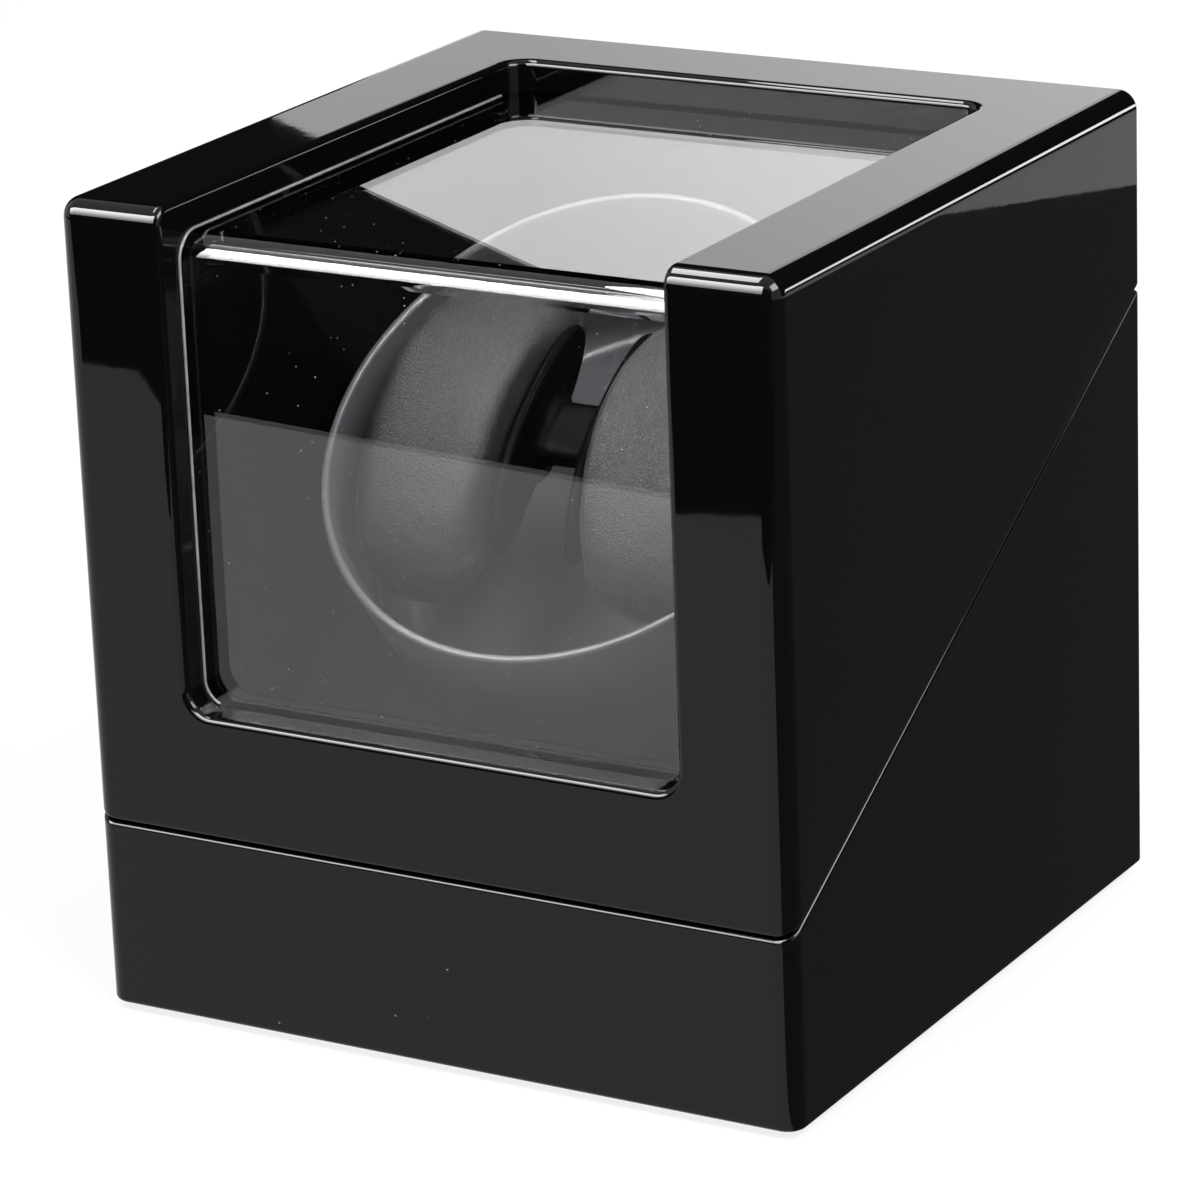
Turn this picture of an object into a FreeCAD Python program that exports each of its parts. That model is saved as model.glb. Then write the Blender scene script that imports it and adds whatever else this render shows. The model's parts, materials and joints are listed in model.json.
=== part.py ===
import FreeCAD, Part
import math
import os

from FreeCAD import Vector

# Watch winder box: a lacquered board case cut on a slant into base and lid, a bent clear window
# in the lid, and a tilted rotor cup with a watch cushion, turned by a geared motor.
# Millimetres. +X is the case's right side, the window faces -Y, +Z is up. The origin is the
# middle of the footprint, on the surface that the feet stand on.

# Case
case_width = 150.0
case_depth = 149.0
case_height = 159.5
board = 12.0
edge_radius = 3.9
back_edge_radius = 0.8
bottom_edge_radius = 1.0

# Slanted parting line between base and lid
seam_front_height = 37.2
seam_back_height = 120.5
seam_gap = 0.3
seam_lip_radius = 0.8

# Window opening, measured to its straight walls
window_side_border = 22.5
window_sill_height = 61.9
window_back_border = 20.8
window_corner_radius = 5.0
window_edge_radius = 1.5

# Bent clear sheet in a rebate behind the opening
sheet_setback = 6.3
sheet_thickness = 3.0
sheet_inner_bend_radius = 2.5
sheet_overlap = 4.0
sheet_clearance = 0.2

# Rotor cup: its rim lies on a slanted plane
rotor_tilt = 40.0
rim_forward = 15.6
rim_height = 108.2
cup_radius = 52.0
cup_wall = 1.7
cup_inner_depth = 37.3
cup_floor = 3.0
cup_floor_radius = 4.0
cup_hub_radius = 8.0

# Watch cushion: an oval wrist form across the cup
cushion_length = 79.0
cushion_half_width = 33.2
cushion_half_height = 25.0
cushion_side_radius = 21.0
cushion_centre_depth = 12.0
roll_length = 29.8
roll_outer_radius = 7.0
roll_inner_radius = 3.0
cheek_inset = 4.0
cheek_thickness = 2.4
cheek_edge_radius = 2.2
cheek_groove = 0.3
bar_width = 13.0
bar_thickness = 6.0
bar_front_depth = 0.0
bar_corner_radius = 2.4
bar_root_radius = 3.5

# Deck, cleats and their screws
deck_gap = 4.0
deck_thickness = 5.0
deck_edge_clearance = 0.3
cleat_size = 8.0
deck_screw_front = 38.0
deck_screw_back = 28.0

# Shaft, bushes and retaining clip
shaft_radius = 3.0
bush_wall = 2.0
bush_flange_radius = 7.5
bush_flange_thickness = 1.0
running_clearance = 0.05
press_clearance = 0.02
thrust_clearance = 0.2
shaft_tail = 3.0
clip_radius = 5.2
clip_thickness = 0.7
clip_groove_depth = 0.6

# Gear pair
gear_module = 1.0
gear_teeth = 48
pinion_teeth = 12
pressure_angle = 20.0
tooth_addendum = 0.75
tooth_dedendum = 1.0
tooth_backlash = 0.16
flank_steps = 3
gear_face = 6.0
gear_hub_radius = 7.0
gear_deck_clearance = 1.0
pinion_extra_face = 1.0

# Drive plate on pillars
pillar_length = 13.0
pillar_radius = 3.2
plate_thickness = 3.0
plate_margin = 5.0
plate_corner_radius = 4.5
plate_half_width = 18.5
pillar_inset = 4.6
pillar_gear_clearance = 3.0

# Geared motor
head_radius = 12.5
head_length = 9.0
can_radius = 10.0
can_length = 18.0
can_edge_radius = 1.2
motor_boss_radius = 4.0
motor_shaft_radius = 2.0
motor_shaft_depth = 6.0
motor_screw_circle = 8.6
terminal_width = 2.0
terminal_thickness = 0.6
terminal_length = 3.5
terminal_spacing = 8.0

# Screws
small_screw_radius = 1.1
small_head_radius = 2.1
small_screw_length = 9.0
wood_screw_radius = 1.5
wood_head_radius = 3.0
wood_screw_length = 12.0
screw_clearance = 0.1

# Hinges on the back
hinge_spread = 74.0
hinge_width = 24.0
hinge_leaf_height = 15.0
hinge_leaf_thickness = 1.2
hinge_barrel_radius = 2.2
hinge_barrel_standoff = 0.3
hinge_pin_radius = 1.1
hinge_knuckle_gap = 0.3
hinge_knuckle_share = 3
hinge_screw_spacing = 14.0

# Controls in the lower back wall
control_height = 30.0
control_pocket_width = 54.0
control_pocket_height = 27.0
control_pocket_centre = -27.0
control_skin = 4.0
control_spacing = 26.0
control_body_depth = 9.2
socket_radius = 5.5
socket_sleeve_radius = 4.6
socket_nut_radius = 7.0
socket_nut_thickness = 1.6
socket_bore_radius = 2.75
socket_bore_depth = 9.0
socket_pin_radius = 1.05
socket_pin_setback = 1.0
switch_body_size = 14.0
switch_bush_radius = 3.5
switch_nut_size = 11.0
switch_nut_thickness = 1.6
switch_stem_radius = 2.0
knob_radius = 7.5
knob_length = 6.6
knob_gap = 0.5
knob_edge_radius = 1.0
knob_flutes = 18
knob_flute_radius = 0.7
knob_pointer_width = 1.2
knob_pointer_height = 0.4
knob_pointer_margin = 2.0
stem_engagement = 4.6
board_width = 48.0
board_height = 24.0
board_thickness = 1.6
chip_size = 6.0
chip_thickness = 1.6
capacitor_radius = 3.0
capacitor_height = 7.0
plug_width = 7.0
plug_height = 5.0
plug_depth = 5.5

# Motor leads
lead_radius = 0.5
lead_reach = 8.0
lead_sag = 8.0
lead_runs_across = 3
lead_bend_share = 0.45

# Bottom panel and feet
panel_thickness = 6.0
panel_ledge = 8.0
panel_clearance = 0.3
panel_screw_inset = 4.0
foot_height = 1.5
foot_radius = 7.0
foot_inset = 26.0
foot_edge_radius = 0.4

# Places worked out from the sizes above
back_projection = switch_nut_thickness + knob_gap + knob_length
front_y = -(case_depth + back_projection) / 2
back_y = front_y + case_depth
bottom_z = foot_height
top_z = bottom_z + case_height
half_width = case_width / 2
inner_half_width = half_width - board
inner_front_y = front_y + board
inner_back_y = back_y - board
inner_top_z = top_z - board
panel_top_z = bottom_z + panel_thickness
seam_slope = (seam_back_height - seam_front_height) / case_depth
seam_half_gap = seam_gap / 2 * math.sqrt(1 + seam_slope * seam_slope)
window_half_width = half_width - window_side_border
window_bottom_z = bottom_z + window_sill_height
window_back_y = back_y - window_back_border
sheet_bend_radius = sheet_inner_bend_radius + sheet_thickness
margin = 5.0

cup_depth = cup_inner_depth + cup_floor
deck_top = -(cup_depth + deck_gap)
deck_bottom = deck_top - deck_thickness
plate_top = deck_bottom - pillar_length
plate_bottom = plate_top - plate_thickness
gear_pitch_radius = gear_module * gear_teeth / 2
pinion_pitch_radius = gear_module * pinion_teeth / 2
gear_distance = gear_pitch_radius + pinion_pitch_radius
gear_tip_radius = gear_pitch_radius + tooth_addendum * gear_module
gear_middle = (deck_bottom + plate_top) / 2
rotor_centre = Vector(0, (front_y + back_y) / 2 - rim_forward, bottom_z + rim_height)
rotor_placement = FreeCAD.Placement(rotor_centre, FreeCAD.Rotation(Vector(1, 0, 0), rotor_tilt))

hinge_y = back_y + hinge_barrel_radius + hinge_barrel_standoff
hinge_z = bottom_z + seam_back_height
control_z = bottom_z + control_height
pocket_y = back_y - control_skin
socket_x = control_pocket_centre - control_spacing / 2
switch_x = control_pocket_centre + control_spacing / 2
board_front_y = pocket_y - control_body_depth

parts = {}


def block(x0, y0, z0, x1, y1, z1):
    return Part.makeBox(x1 - x0, y1 - y0, z1 - z0, Vector(x0, y0, z0))


def rod(radius, length, start, axis=Vector(0, 0, 1)):
    return Part.makeCylinder(radius, length, start, axis)


def on_rotor(shape):
    """Moves a shape from the rotor's own frame, rim plane at zero, into the case."""
    moved = shape.copy()
    moved.Placement = rotor_placement.multiply(moved.Placement)
    return moved


def to_case(point):
    return rotor_placement.multVec(point)


def polygon_prism(points, direction):
    closed = Part.makePolygon(points + [points[0]])
    return Part.Face(closed).extrude(direction)


def edges_where(shape, test):
    found = []
    for edge in shape.Edges:
        middle = edge.valueAt((edge.FirstParameter + edge.LastParameter) / 2)
        if test(middle):
            found.append(edge)
    return found


def near(a, b):
    return abs(a - b) < 1e-4


def seam_height(y):
    return bottom_z + seam_front_height + seam_slope * (y - front_y)


def seam_prism(lift, end_z):
    """Everything on one side of the slanted parting plane, out to the level end_z."""
    y0 = front_y - margin
    y1 = back_y + margin
    corners = [
        Vector(-half_width - margin, y0, seam_height(y0) + lift),
        Vector(-half_width - margin, y1, seam_height(y1) + lift),
        Vector(-half_width - margin, y1, end_z),
        Vector(-half_width - margin, y0, end_z),
    ]
    return polygon_prism(corners, Vector(case_width + 2 * margin, 0, 0))


def case_block():
    """The closed outside of the case, before it is cut in two."""
    body = block(-half_width, front_y, bottom_z, half_width, back_y, top_z)

    def is_round_edge(p):
        upright = near(abs(p.x), half_width) and near(p.y, front_y)
        top_side = near(abs(p.x), half_width) and near(p.z, top_z)
        top_front = near(p.y, front_y) and near(p.z, top_z)
        return upright or top_side or top_front

    body = body.makeFillet(edge_radius, edges_where(body, is_round_edge))

    def is_back_edge(p):
        return near(p.y, back_y) and not near(p.z, bottom_z)

    return body.makeFillet(back_edge_radius, edges_where(body, is_back_edge))


def screw_profile(shank_radius, head_radius, length, grow):
    """Countersunk screw along -Z with its flat head at zero, grown by a clearance."""
    head_depth = head_radius - shank_radius
    points = [
        Vector(0, 0, 0),
        Vector(head_radius + grow, 0, 0),
        Vector(shank_radius + grow, 0, -head_depth),
        Vector(shank_radius + grow, 0, -length - grow),
        Vector(0, 0, -length - grow),
    ]
    outline = Part.Face(Part.makePolygon(points + [points[0]]))
    return outline.revolve(Vector(0, 0, 0), Vector(0, 0, 1), 360)


def placed_screws(places, turn, sizes, grow=0.0):
    shank_radius, head_radius, length = sizes
    screws = []
    for place in places:
        screw = screw_profile(shank_radius, head_radius, length, grow)
        screw.Placement = FreeCAD.Placement(place, turn)
        screws.append(screw)
    return screws


def cut_all(shape, tools):
    for tool in tools:
        shape = shape.cut(tool)
    return shape


small_screw = (small_screw_radius, small_head_radius, small_screw_length)
wood_screw = (wood_screw_radius, wood_head_radius, wood_screw_length)
face_up = FreeCAD.Rotation()
face_down = FreeCAD.Rotation(Vector(1, 0, 0), 180)
face_back = FreeCAD.Rotation(Vector(1, 0, 0), -90)


def window_outline(half, far, corner, flip):
    """U-shaped outline, open end at zero, with two rounded corners at the distance far."""
    diagonal = corner * (1 - math.sqrt(0.5))
    a = Vector(-half, 0, 0)
    b = Vector(-half, far - corner, 0)
    bc = Vector(-half + diagonal, far - diagonal, 0)
    c = Vector(-half + corner, far, 0)
    d = Vector(half - corner, far, 0)
    de = Vector(half - diagonal, far - diagonal, 0)
    e = Vector(half, far - corner, 0)
    f = Vector(half, 0, 0)
    outline = Part.Wire([
        Part.makeLine(a, b),
        Part.Arc(b, bc, c).toShape(),
        Part.makeLine(c, d),
        Part.Arc(d, de, e).toShape(),
        Part.makeLine(e, f),
        Part.makeLine(f, a),
    ])
    face = Part.Face(outline)
    face.Placement = flip
    return face


def window_cutter():
    """The opening's two slots, down the front and along the top, as one L-shaped cutter."""
    down = FreeCAD.Placement(Vector(0, front_y - margin, top_z + margin), face_back)
    front_slot = window_outline(
        window_half_width, top_z + margin - window_bottom_z, window_corner_radius, down
    ).extrude(Vector(0, margin + board + margin, 0))
    along = FreeCAD.Placement(Vector(0, front_y - margin, inner_top_z - margin), FreeCAD.Rotation())
    top_slot = window_outline(
        window_half_width, window_back_y - front_y + margin, window_corner_radius, along
    ).extrude(Vector(0, 0, margin + board + margin))
    return front_slot.fuse(top_slot)


def sheet_profile(outer_offset, inner_offset, bend_radius, side, bottom_z_end, back_y_end):
    """L-shaped band behind the front and top faces, between two offsets from them."""
    y0 = front_y + outer_offset
    z1 = top_z - outer_offset
    thickness = inner_offset - outer_offset
    bend_centre = Vector(-side, y0 + bend_radius, z1 - bend_radius)
    inner_bend = bend_radius - thickness
    slant = math.sqrt(0.5)
    y2 = bend_centre.y - inner_bend
    z2 = bend_centre.z + inner_bend
    p1 = Vector(-side, y0, bottom_z_end)
    p2 = Vector(-side, y0, bend_centre.z)
    p23 = bend_centre + Vector(0, -slant * bend_radius, slant * bend_radius)
    p3 = Vector(-side, bend_centre.y, z1)
    p4 = Vector(-side, back_y_end, z1)
    p5 = Vector(-side, back_y_end, z2)
    p6 = Vector(-side, bend_centre.y, z2)
    p67 = bend_centre + Vector(0, -slant * inner_bend, slant * inner_bend)
    p7 = Vector(-side, y2, bend_centre.z)
    p8 = Vector(-side, y2, bottom_z_end)
    outline = Part.Wire([
        Part.makeLine(p1, p2),
        Part.Arc(p2, p23, p3).toShape(),
        Part.makeLine(p3, p4),
        Part.makeLine(p4, p5),
        Part.makeLine(p5, p6),
        Part.Arc(p6, p67, p7).toShape(),
        Part.makeLine(p7, p8),
        Part.makeLine(p8, p1),
    ])
    return Part.Face(outline).extrude(Vector(2 * side, 0, 0))


def make_window_sheet():
    return sheet_profile(
        sheet_setback,
        sheet_setback + sheet_thickness,
        sheet_bend_radius,
        window_half_width + sheet_overlap,
        window_bottom_z - sheet_overlap,
        window_back_y + sheet_overlap,
    )


def rebate_cutter():
    side = window_half_width + sheet_overlap + sheet_clearance
    low = window_bottom_z - sheet_overlap - sheet_clearance
    far = window_back_y + sheet_overlap + sheet_clearance
    band = sheet_profile(sheet_setback, sheet_setback + sheet_thickness, sheet_bend_radius, side, low, far)
    behind_y = front_y + sheet_setback + sheet_bend_radius
    under_z = top_z - sheet_setback - sheet_bend_radius
    front_space = block(-side, front_y + sheet_setback, low, side, inner_front_y + margin, under_z)
    top_space = block(-side, behind_y, inner_top_z - margin, side, far, top_z - sheet_setback)
    return band.fuse(front_space).fuse(top_space)


def on_outer_skin(p):
    on_flat = near(p.y, front_y) or near(p.z, top_z)
    to_axis = math.hypot(p.y - front_y - edge_radius, p.z - top_z + edge_radius)
    return on_flat or near(to_axis, edge_radius)


def outer_seam_edges(shape, lift):
    return edges_where(shape, lambda p: near(p.z, seam_height(p.y) + lift))


def hinge_screw_places(x_middle, z):
    half = hinge_screw_spacing / 2
    y = back_y + hinge_leaf_thickness
    return [Vector(x_middle - half, y, z), Vector(x_middle + half, y, z)]


hinge_middles = (-hinge_spread / 2, hinge_spread / 2)
lid_screw_z = hinge_z + (hinge_leaf_height + hinge_barrel_radius) / 2
base_screw_z = hinge_z - (hinge_leaf_height + hinge_barrel_radius) / 2


def hinge_screws(z, grow=0.0):
    places = []
    for x_middle in hinge_middles:
        places += hinge_screw_places(x_middle, z)
    return placed_screws(places, face_back, small_screw, grow)


def make_lid_shell():
    shell = case_block().common(seam_prism(seam_half_gap, top_z + margin))
    shell = shell.makeFillet(seam_lip_radius, outer_seam_edges(shell, seam_half_gap))
    shell = shell.cut(window_cutter())

    def is_window_edge(p):
        return on_outer_skin(p) and abs(p.x) < window_half_width + 1e-3 and p.y < window_back_y + 1e-3

    shell = shell.makeFillet(window_edge_radius, edges_where(shell, is_window_edge))
    hollow = block(-inner_half_width, inner_front_y, bottom_z, inner_half_width, inner_back_y, inner_top_z)
    shell = shell.cut(hollow).cut(rebate_cutter())
    return cut_all(shell, hinge_screws(lid_screw_z, screw_clearance))


def panel_screw_places():
    x = inner_half_width + panel_screw_inset
    y0 = inner_front_y + board
    y1 = inner_back_y - board
    return [Vector(side * x, y, bottom_z) for side in (-1, 1) for y in (y0, y1)]


def panel_screws(grow=0.0):
    return placed_screws(panel_screw_places(), face_down, wood_screw, grow)


def make_base_case():
    case = case_block().common(seam_prism(-seam_half_gap, bottom_z - margin))
    case = case.makeFillet(seam_lip_radius, outer_seam_edges(case, -seam_half_gap))
    case = case.makeFillet(bottom_edge_radius, edges_where(case, lambda p: near(p.z, bottom_z)))
    case = case.cut(block(
        -inner_half_width, inner_front_y, bottom_z - margin, inner_half_width, inner_back_y, top_z
    ))
    case = case.cut(block(
        -inner_half_width - panel_ledge, inner_front_y - panel_ledge, bottom_z - margin,
        inner_half_width + panel_ledge, inner_back_y + panel_ledge, panel_top_z,
    ))
    case = case.cut(block(
        control_pocket_centre - control_pocket_width / 2, inner_back_y - margin,
        control_z - control_pocket_height / 2,
        control_pocket_centre + control_pocket_width / 2, pocket_y,
        control_z + control_pocket_height / 2,
    ))
    backward = Vector(0, 1, 0)
    case = case.cut(rod(
        socket_sleeve_radius + screw_clearance, control_skin + 2 * margin,
        Vector(socket_x, pocket_y - margin, control_z), backward
    ))
    case = case.cut(rod(
        switch_bush_radius + screw_clearance, control_skin + 2 * margin,
        Vector(switch_x, pocket_y - margin, control_z), backward
    ))
    case = cut_all(case, hinge_screws(base_screw_z, screw_clearance))
    return cut_all(case, panel_screws(screw_clearance))


def make_bottom_panel():
    panel = block(
        -inner_half_width - panel_ledge + panel_clearance, inner_front_y - panel_ledge + panel_clearance,
        bottom_z, inner_half_width + panel_ledge - panel_clearance,
        inner_back_y + panel_ledge - panel_clearance, panel_top_z,
    )
    return cut_all(panel, panel_screws(screw_clearance))


def make_feet():
    feet = []
    for side in (-1, 1):
        for y in (front_y + foot_inset, back_y - foot_inset):
            foot = rod(foot_radius, foot_height, Vector(side * (half_width - foot_inset), y, 0))
            foot = foot.makeFillet(foot_edge_radius, edges_where(foot, lambda p: near(p.z, 0)))
            feet.append(foot)
    return feet


def hinge_leaf(x_middle, up):
    """One leaf with its knuckles: the lid's holds the middle one, the base's the outer two."""
    left = x_middle - hinge_width / 2
    knuckle = hinge_width / hinge_knuckle_share
    middle_knuckle = (left + knuckle, left + hinge_width - knuckle)
    if up > 0:
        spans = [middle_knuckle]
    else:
        spans = [(left, middle_knuckle[0]), (middle_knuckle[1], left + hinge_width)]
    clear = hinge_barrel_radius + hinge_barrel_standoff
    z_near = hinge_z + up * clear
    z_far = hinge_z + up * (hinge_barrel_radius + hinge_leaf_height)
    leaf_y = back_y + hinge_leaf_thickness
    leaf = block(left, back_y, min(z_near, z_far), left + hinge_width, leaf_y, max(z_near, z_far))
    trim = hinge_knuckle_gap / 2
    for x0, x1 in spans:
        start = x0 if near(x0, left) else x0 + trim
        end = x1 if near(x1, left + hinge_width) else x1 - trim
        barrel = rod(hinge_barrel_radius, end - start, Vector(start, hinge_y, hinge_z), Vector(1, 0, 0))
        z_low = min(hinge_z, z_near)
        z_high = max(hinge_z, z_near)
        neck = block(start, back_y + hinge_barrel_standoff, z_low, end, leaf_y, z_high)
        leaf = leaf.fuse(barrel).fuse(neck)
    fit = running_clearance if up > 0 else press_clearance
    bore = rod(
        hinge_pin_radius + fit, hinge_width + 2 * margin,
        Vector(left - margin, hinge_y, hinge_z), Vector(1, 0, 0)
    )
    z_screw = lid_screw_z if up > 0 else base_screw_z
    screws = placed_screws(hinge_screw_places(x_middle, z_screw), face_back, small_screw, screw_clearance)
    return cut_all(leaf.cut(bore), screws).removeSplitter()


def make_hinge_pins():
    pins = []
    for x_middle in hinge_middles:
        start = Vector(x_middle - hinge_width / 2, hinge_y, hinge_z)
        pins.append(rod(hinge_pin_radius, hinge_width, start, Vector(1, 0, 0)))
    return pins


def inner_space(clearance):
    """The base's inside, below the parting plane and above the bottom panel."""
    space = block(
        -inner_half_width + clearance, inner_front_y + clearance, panel_top_z + clearance,
        inner_half_width - clearance, inner_back_y - clearance, top_z,
    )
    return space.common(seam_prism(-seam_half_gap - clearance, bottom_z - margin))


def deck_slab(low, high, x0, x1):
    reach = case_depth + case_height
    return on_rotor(block(x0, -reach, low, x1, reach, high))


def deck_screw_places():
    x = inner_half_width - cleat_size / 2
    return [Vector(side * x, u, deck_top) for side in (-1, 1) for u in (-deck_screw_front, deck_screw_back)]


def deck_screws(grow=0.0):
    return placed_screws(deck_screw_places(), face_up, small_screw, grow)


pinion_x = gear_distance
pillar_left_x = -(gear_tip_radius + pillar_gear_clearance + pillar_radius)
plate_left_x = pillar_left_x - pillar_inset
plate_right_x = pinion_x + head_radius + plate_margin
pillar_right_x = plate_right_x - pillar_inset
pillar_u = plate_half_width - pillar_inset
pillar_places = [(x, u) for x in (pillar_left_x, pillar_right_x) for u in (-pillar_u, pillar_u)]


def plate_screws(grow=0.0):
    places = [Vector(x, u, plate_bottom) for x, u in pillar_places]
    return placed_screws(places, face_down, small_screw, grow)


def pillar_screws(grow=0.0):
    places = [Vector(x, u, deck_top) for x, u in pillar_places]
    return placed_screws(places, face_up, small_screw, grow)


def motor_screws(grow=0.0):
    places = [Vector(pinion_x, sign * motor_screw_circle, plate_top) for sign in (-1, 1)]
    return placed_screws(places, face_up, small_screw, grow)


def make_deck_panel():
    deck = deck_slab(deck_bottom, deck_top, -half_width, half_width).common(inner_space(deck_edge_clearance))
    bush_hole = rod(shaft_radius + bush_wall + press_clearance, deck_thickness + 2 * margin,
                    Vector(0, 0, deck_bottom - margin))
    deck = deck.cut(on_rotor(bush_hole))
    holes = deck_screws(screw_clearance) + pillar_screws(screw_clearance)
    return cut_all(deck, [on_rotor(hole) for hole in holes])


def make_deck_cleats():
    cleats = []
    for side in (-1, 1):
        x0 = min(side * inner_half_width, side * (inner_half_width - cleat_size))
        slab = deck_slab(deck_bottom - cleat_size, deck_bottom, x0, x0 + cleat_size)
        cleat = slab.common(inner_space(0.0))
        cleats.append(cut_all(cleat, [on_rotor(screw) for screw in deck_screws(screw_clearance)]))
    return cleats


def make_bush(face, length, up):
    """Flanged bush with its flange on the outside of a plate face, pointing up or down."""
    start = Vector(0, 0, face)
    axis = Vector(0, 0, up)
    body = rod(shaft_radius + bush_wall, length, start, -axis)
    flange = rod(bush_flange_radius, bush_flange_thickness, start, axis)
    bore_start = start - axis * (length + margin)
    bore_length = length + bush_flange_thickness + 2 * margin
    bore = rod(shaft_radius + running_clearance, bore_length, bore_start, axis)
    return body.fuse(flange).cut(bore).removeSplitter()


def make_cup():
    """Turned cup: rounded rim, thin wall, rounded floor and a hub that rests on the deck bush."""
    inner = cup_radius - cup_wall
    rim = cup_wall / 2
    floor_top = -cup_inner_depth
    round_in = cup_floor_radius
    round_out = cup_floor_radius + cup_wall
    hub_end = deck_top + bush_flange_thickness + thrust_clearance
    slant = math.sqrt(0.5)
    bore = shaft_radius + press_clearance

    def at(r, z):
        return Vector(r, 0, z)

    in_centre = at(inner - round_in, floor_top + round_in)
    out_centre = at(cup_radius - round_out, -cup_depth + round_out)
    edges = [
        Part.makeLine(at(bore, floor_top), at(inner - round_in, floor_top)),
        Part.Arc(at(inner - round_in, floor_top),
                 in_centre + at(slant * round_in, -slant * round_in),
                 at(inner, floor_top + round_in)).toShape(),
        Part.makeLine(at(inner, floor_top + round_in), at(inner, -rim)),
        Part.Arc(at(inner, -rim), at(inner + rim, 0), at(cup_radius, -rim)).toShape(),
        Part.makeLine(at(cup_radius, -rim), at(cup_radius, -cup_depth + round_out)),
        Part.Arc(at(cup_radius, -cup_depth + round_out),
                 out_centre + at(slant * round_out, -slant * round_out),
                 at(cup_radius - round_out, -cup_depth)).toShape(),
        Part.makeLine(at(cup_radius - round_out, -cup_depth), at(cup_hub_radius, -cup_depth)),
        Part.makeLine(at(cup_hub_radius, -cup_depth), at(cup_hub_radius, hub_end)),
        Part.makeLine(at(cup_hub_radius, hub_end), at(bore, hub_end)),
        Part.makeLine(at(bore, hub_end), at(bore, floor_top)),
    ]
    return Part.Face(Part.Wire(edges)).revolve(Vector(0, 0, 0), Vector(0, 0, 1), 360)


shaft_end = plate_bottom - shaft_tail
clip_top = plate_bottom - running_clearance


def make_shaft():
    length = -cup_inner_depth - shaft_end
    shaft = rod(shaft_radius, length, Vector(0, 0, shaft_end))
    groove_width = clip_thickness + running_clearance
    groove_start = Vector(0, 0, clip_top - groove_width)
    groove = rod(shaft_radius + margin, groove_width, groove_start)
    groove = groove.cut(rod(shaft_radius - clip_groove_depth, groove_width, groove_start))
    return shaft.cut(groove)


def make_clip():
    """Spring clip, open on one side so that it pushes onto the shaft's groove."""
    low = clip_top - clip_thickness
    neck = shaft_radius - clip_groove_depth + press_clearance
    clip = rod(clip_radius, clip_thickness, Vector(0, 0, low))
    clip = clip.cut(rod(neck, clip_thickness, Vector(0, 0, low)))
    mouth = block(-neck, 0, low, neck, clip_radius + margin, clip_top)
    return clip.cut(mouth)


def flank_point(base_radius, radius, start_angle, side):
    """Point of an involute that leaves the base circle at start_angle."""
    if radius <= base_radius:
        turn = 0.0
    else:
        roll = math.sqrt((radius / base_radius) ** 2 - 1)
        turn = roll - math.atan(roll)
    angle = start_angle + side * turn
    return Vector(radius * math.cos(angle), radius * math.sin(angle), 0)


def gear_blank(teeth, first_tooth, face):
    """Spur gear outline with stub involute teeth, as a solid of the given face width."""
    pitch = gear_module * teeth / 2
    base = pitch * math.cos(math.radians(pressure_angle))
    tip = pitch + tooth_addendum * gear_module
    root = pitch - tooth_dedendum * gear_module
    lead = math.tan(math.radians(pressure_angle)) - math.radians(pressure_angle)
    half_tooth = (math.pi * gear_module / 2 - tooth_backlash) / (2 * pitch) + lead
    start = max(base, root)
    radii = [start + (tip - start) * step / flank_steps for step in range(flank_steps + 1)]
    points = []
    for tooth in range(teeth):
        middle = first_tooth + 2 * math.pi * tooth / teeth
        rising = [flank_point(base, r, middle - half_tooth, 1) for r in radii]
        falling = [flank_point(base, r, middle + half_tooth, -1) for r in reversed(radii)]
        foot_in = Vector(root * math.cos(middle - half_tooth), root * math.sin(middle - half_tooth), 0)
        foot_out = Vector(root * math.cos(middle + half_tooth), root * math.sin(middle + half_tooth), 0)
        if root < base:
            rising = [foot_in] + rising
            falling = falling + [foot_out]
        points += rising + falling
    return polygon_prism(points, Vector(0, 0, face))


def make_driven_gear():
    low = gear_middle - gear_face / 2
    gear = gear_blank(gear_teeth, 0.0, gear_face)
    gear.translate(Vector(0, 0, low))
    hub_low = plate_top + bush_flange_thickness + thrust_clearance
    hub_high = deck_bottom - gear_deck_clearance
    gear = gear.fuse(rod(gear_hub_radius, hub_high - hub_low, Vector(0, 0, hub_low)))
    bore = rod(shaft_radius + press_clearance, hub_high - hub_low, Vector(0, 0, hub_low))
    return gear.cut(bore)


pinion_face = gear_face + pinion_extra_face
pinion_low = gear_middle - pinion_face / 2


def make_pinion():
    pinion = gear_blank(pinion_teeth, math.pi / pinion_teeth, pinion_face)
    pinion.translate(Vector(pinion_x, 0, pinion_low))
    return pinion.cut(rod(motor_shaft_radius + press_clearance, pinion_face, Vector(pinion_x, 0, pinion_low)))


head_bottom = plate_bottom - head_length
can_bottom = head_bottom - can_length
motor_shaft_low = plate_bottom - motor_shaft_depth


def make_motor_shaft():
    length = pinion_low + pinion_face - motor_shaft_low
    return rod(motor_shaft_radius, length, Vector(pinion_x, 0, motor_shaft_low))


def make_motor_head():
    head = rod(head_radius, head_length, Vector(pinion_x, 0, head_bottom))
    head = head.fuse(rod(motor_boss_radius, plate_thickness, Vector(pinion_x, 0, plate_bottom)))
    low = motor_shaft_low - thrust_clearance
    bore = rod(motor_shaft_radius + running_clearance, plate_top - low, Vector(pinion_x, 0, low))
    return cut_all(head.cut(bore), motor_screws(screw_clearance)).removeSplitter()


def terminal_places():
    return [Vector(pinion_x, sign * terminal_spacing / 2, can_bottom) for sign in (-1, 1)]


def make_motor_can():
    can = rod(can_radius, can_length, Vector(pinion_x, 0, can_bottom))
    return can.makeFillet(can_edge_radius, edges_where(can, lambda p: near(p.z, can_bottom)))


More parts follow.
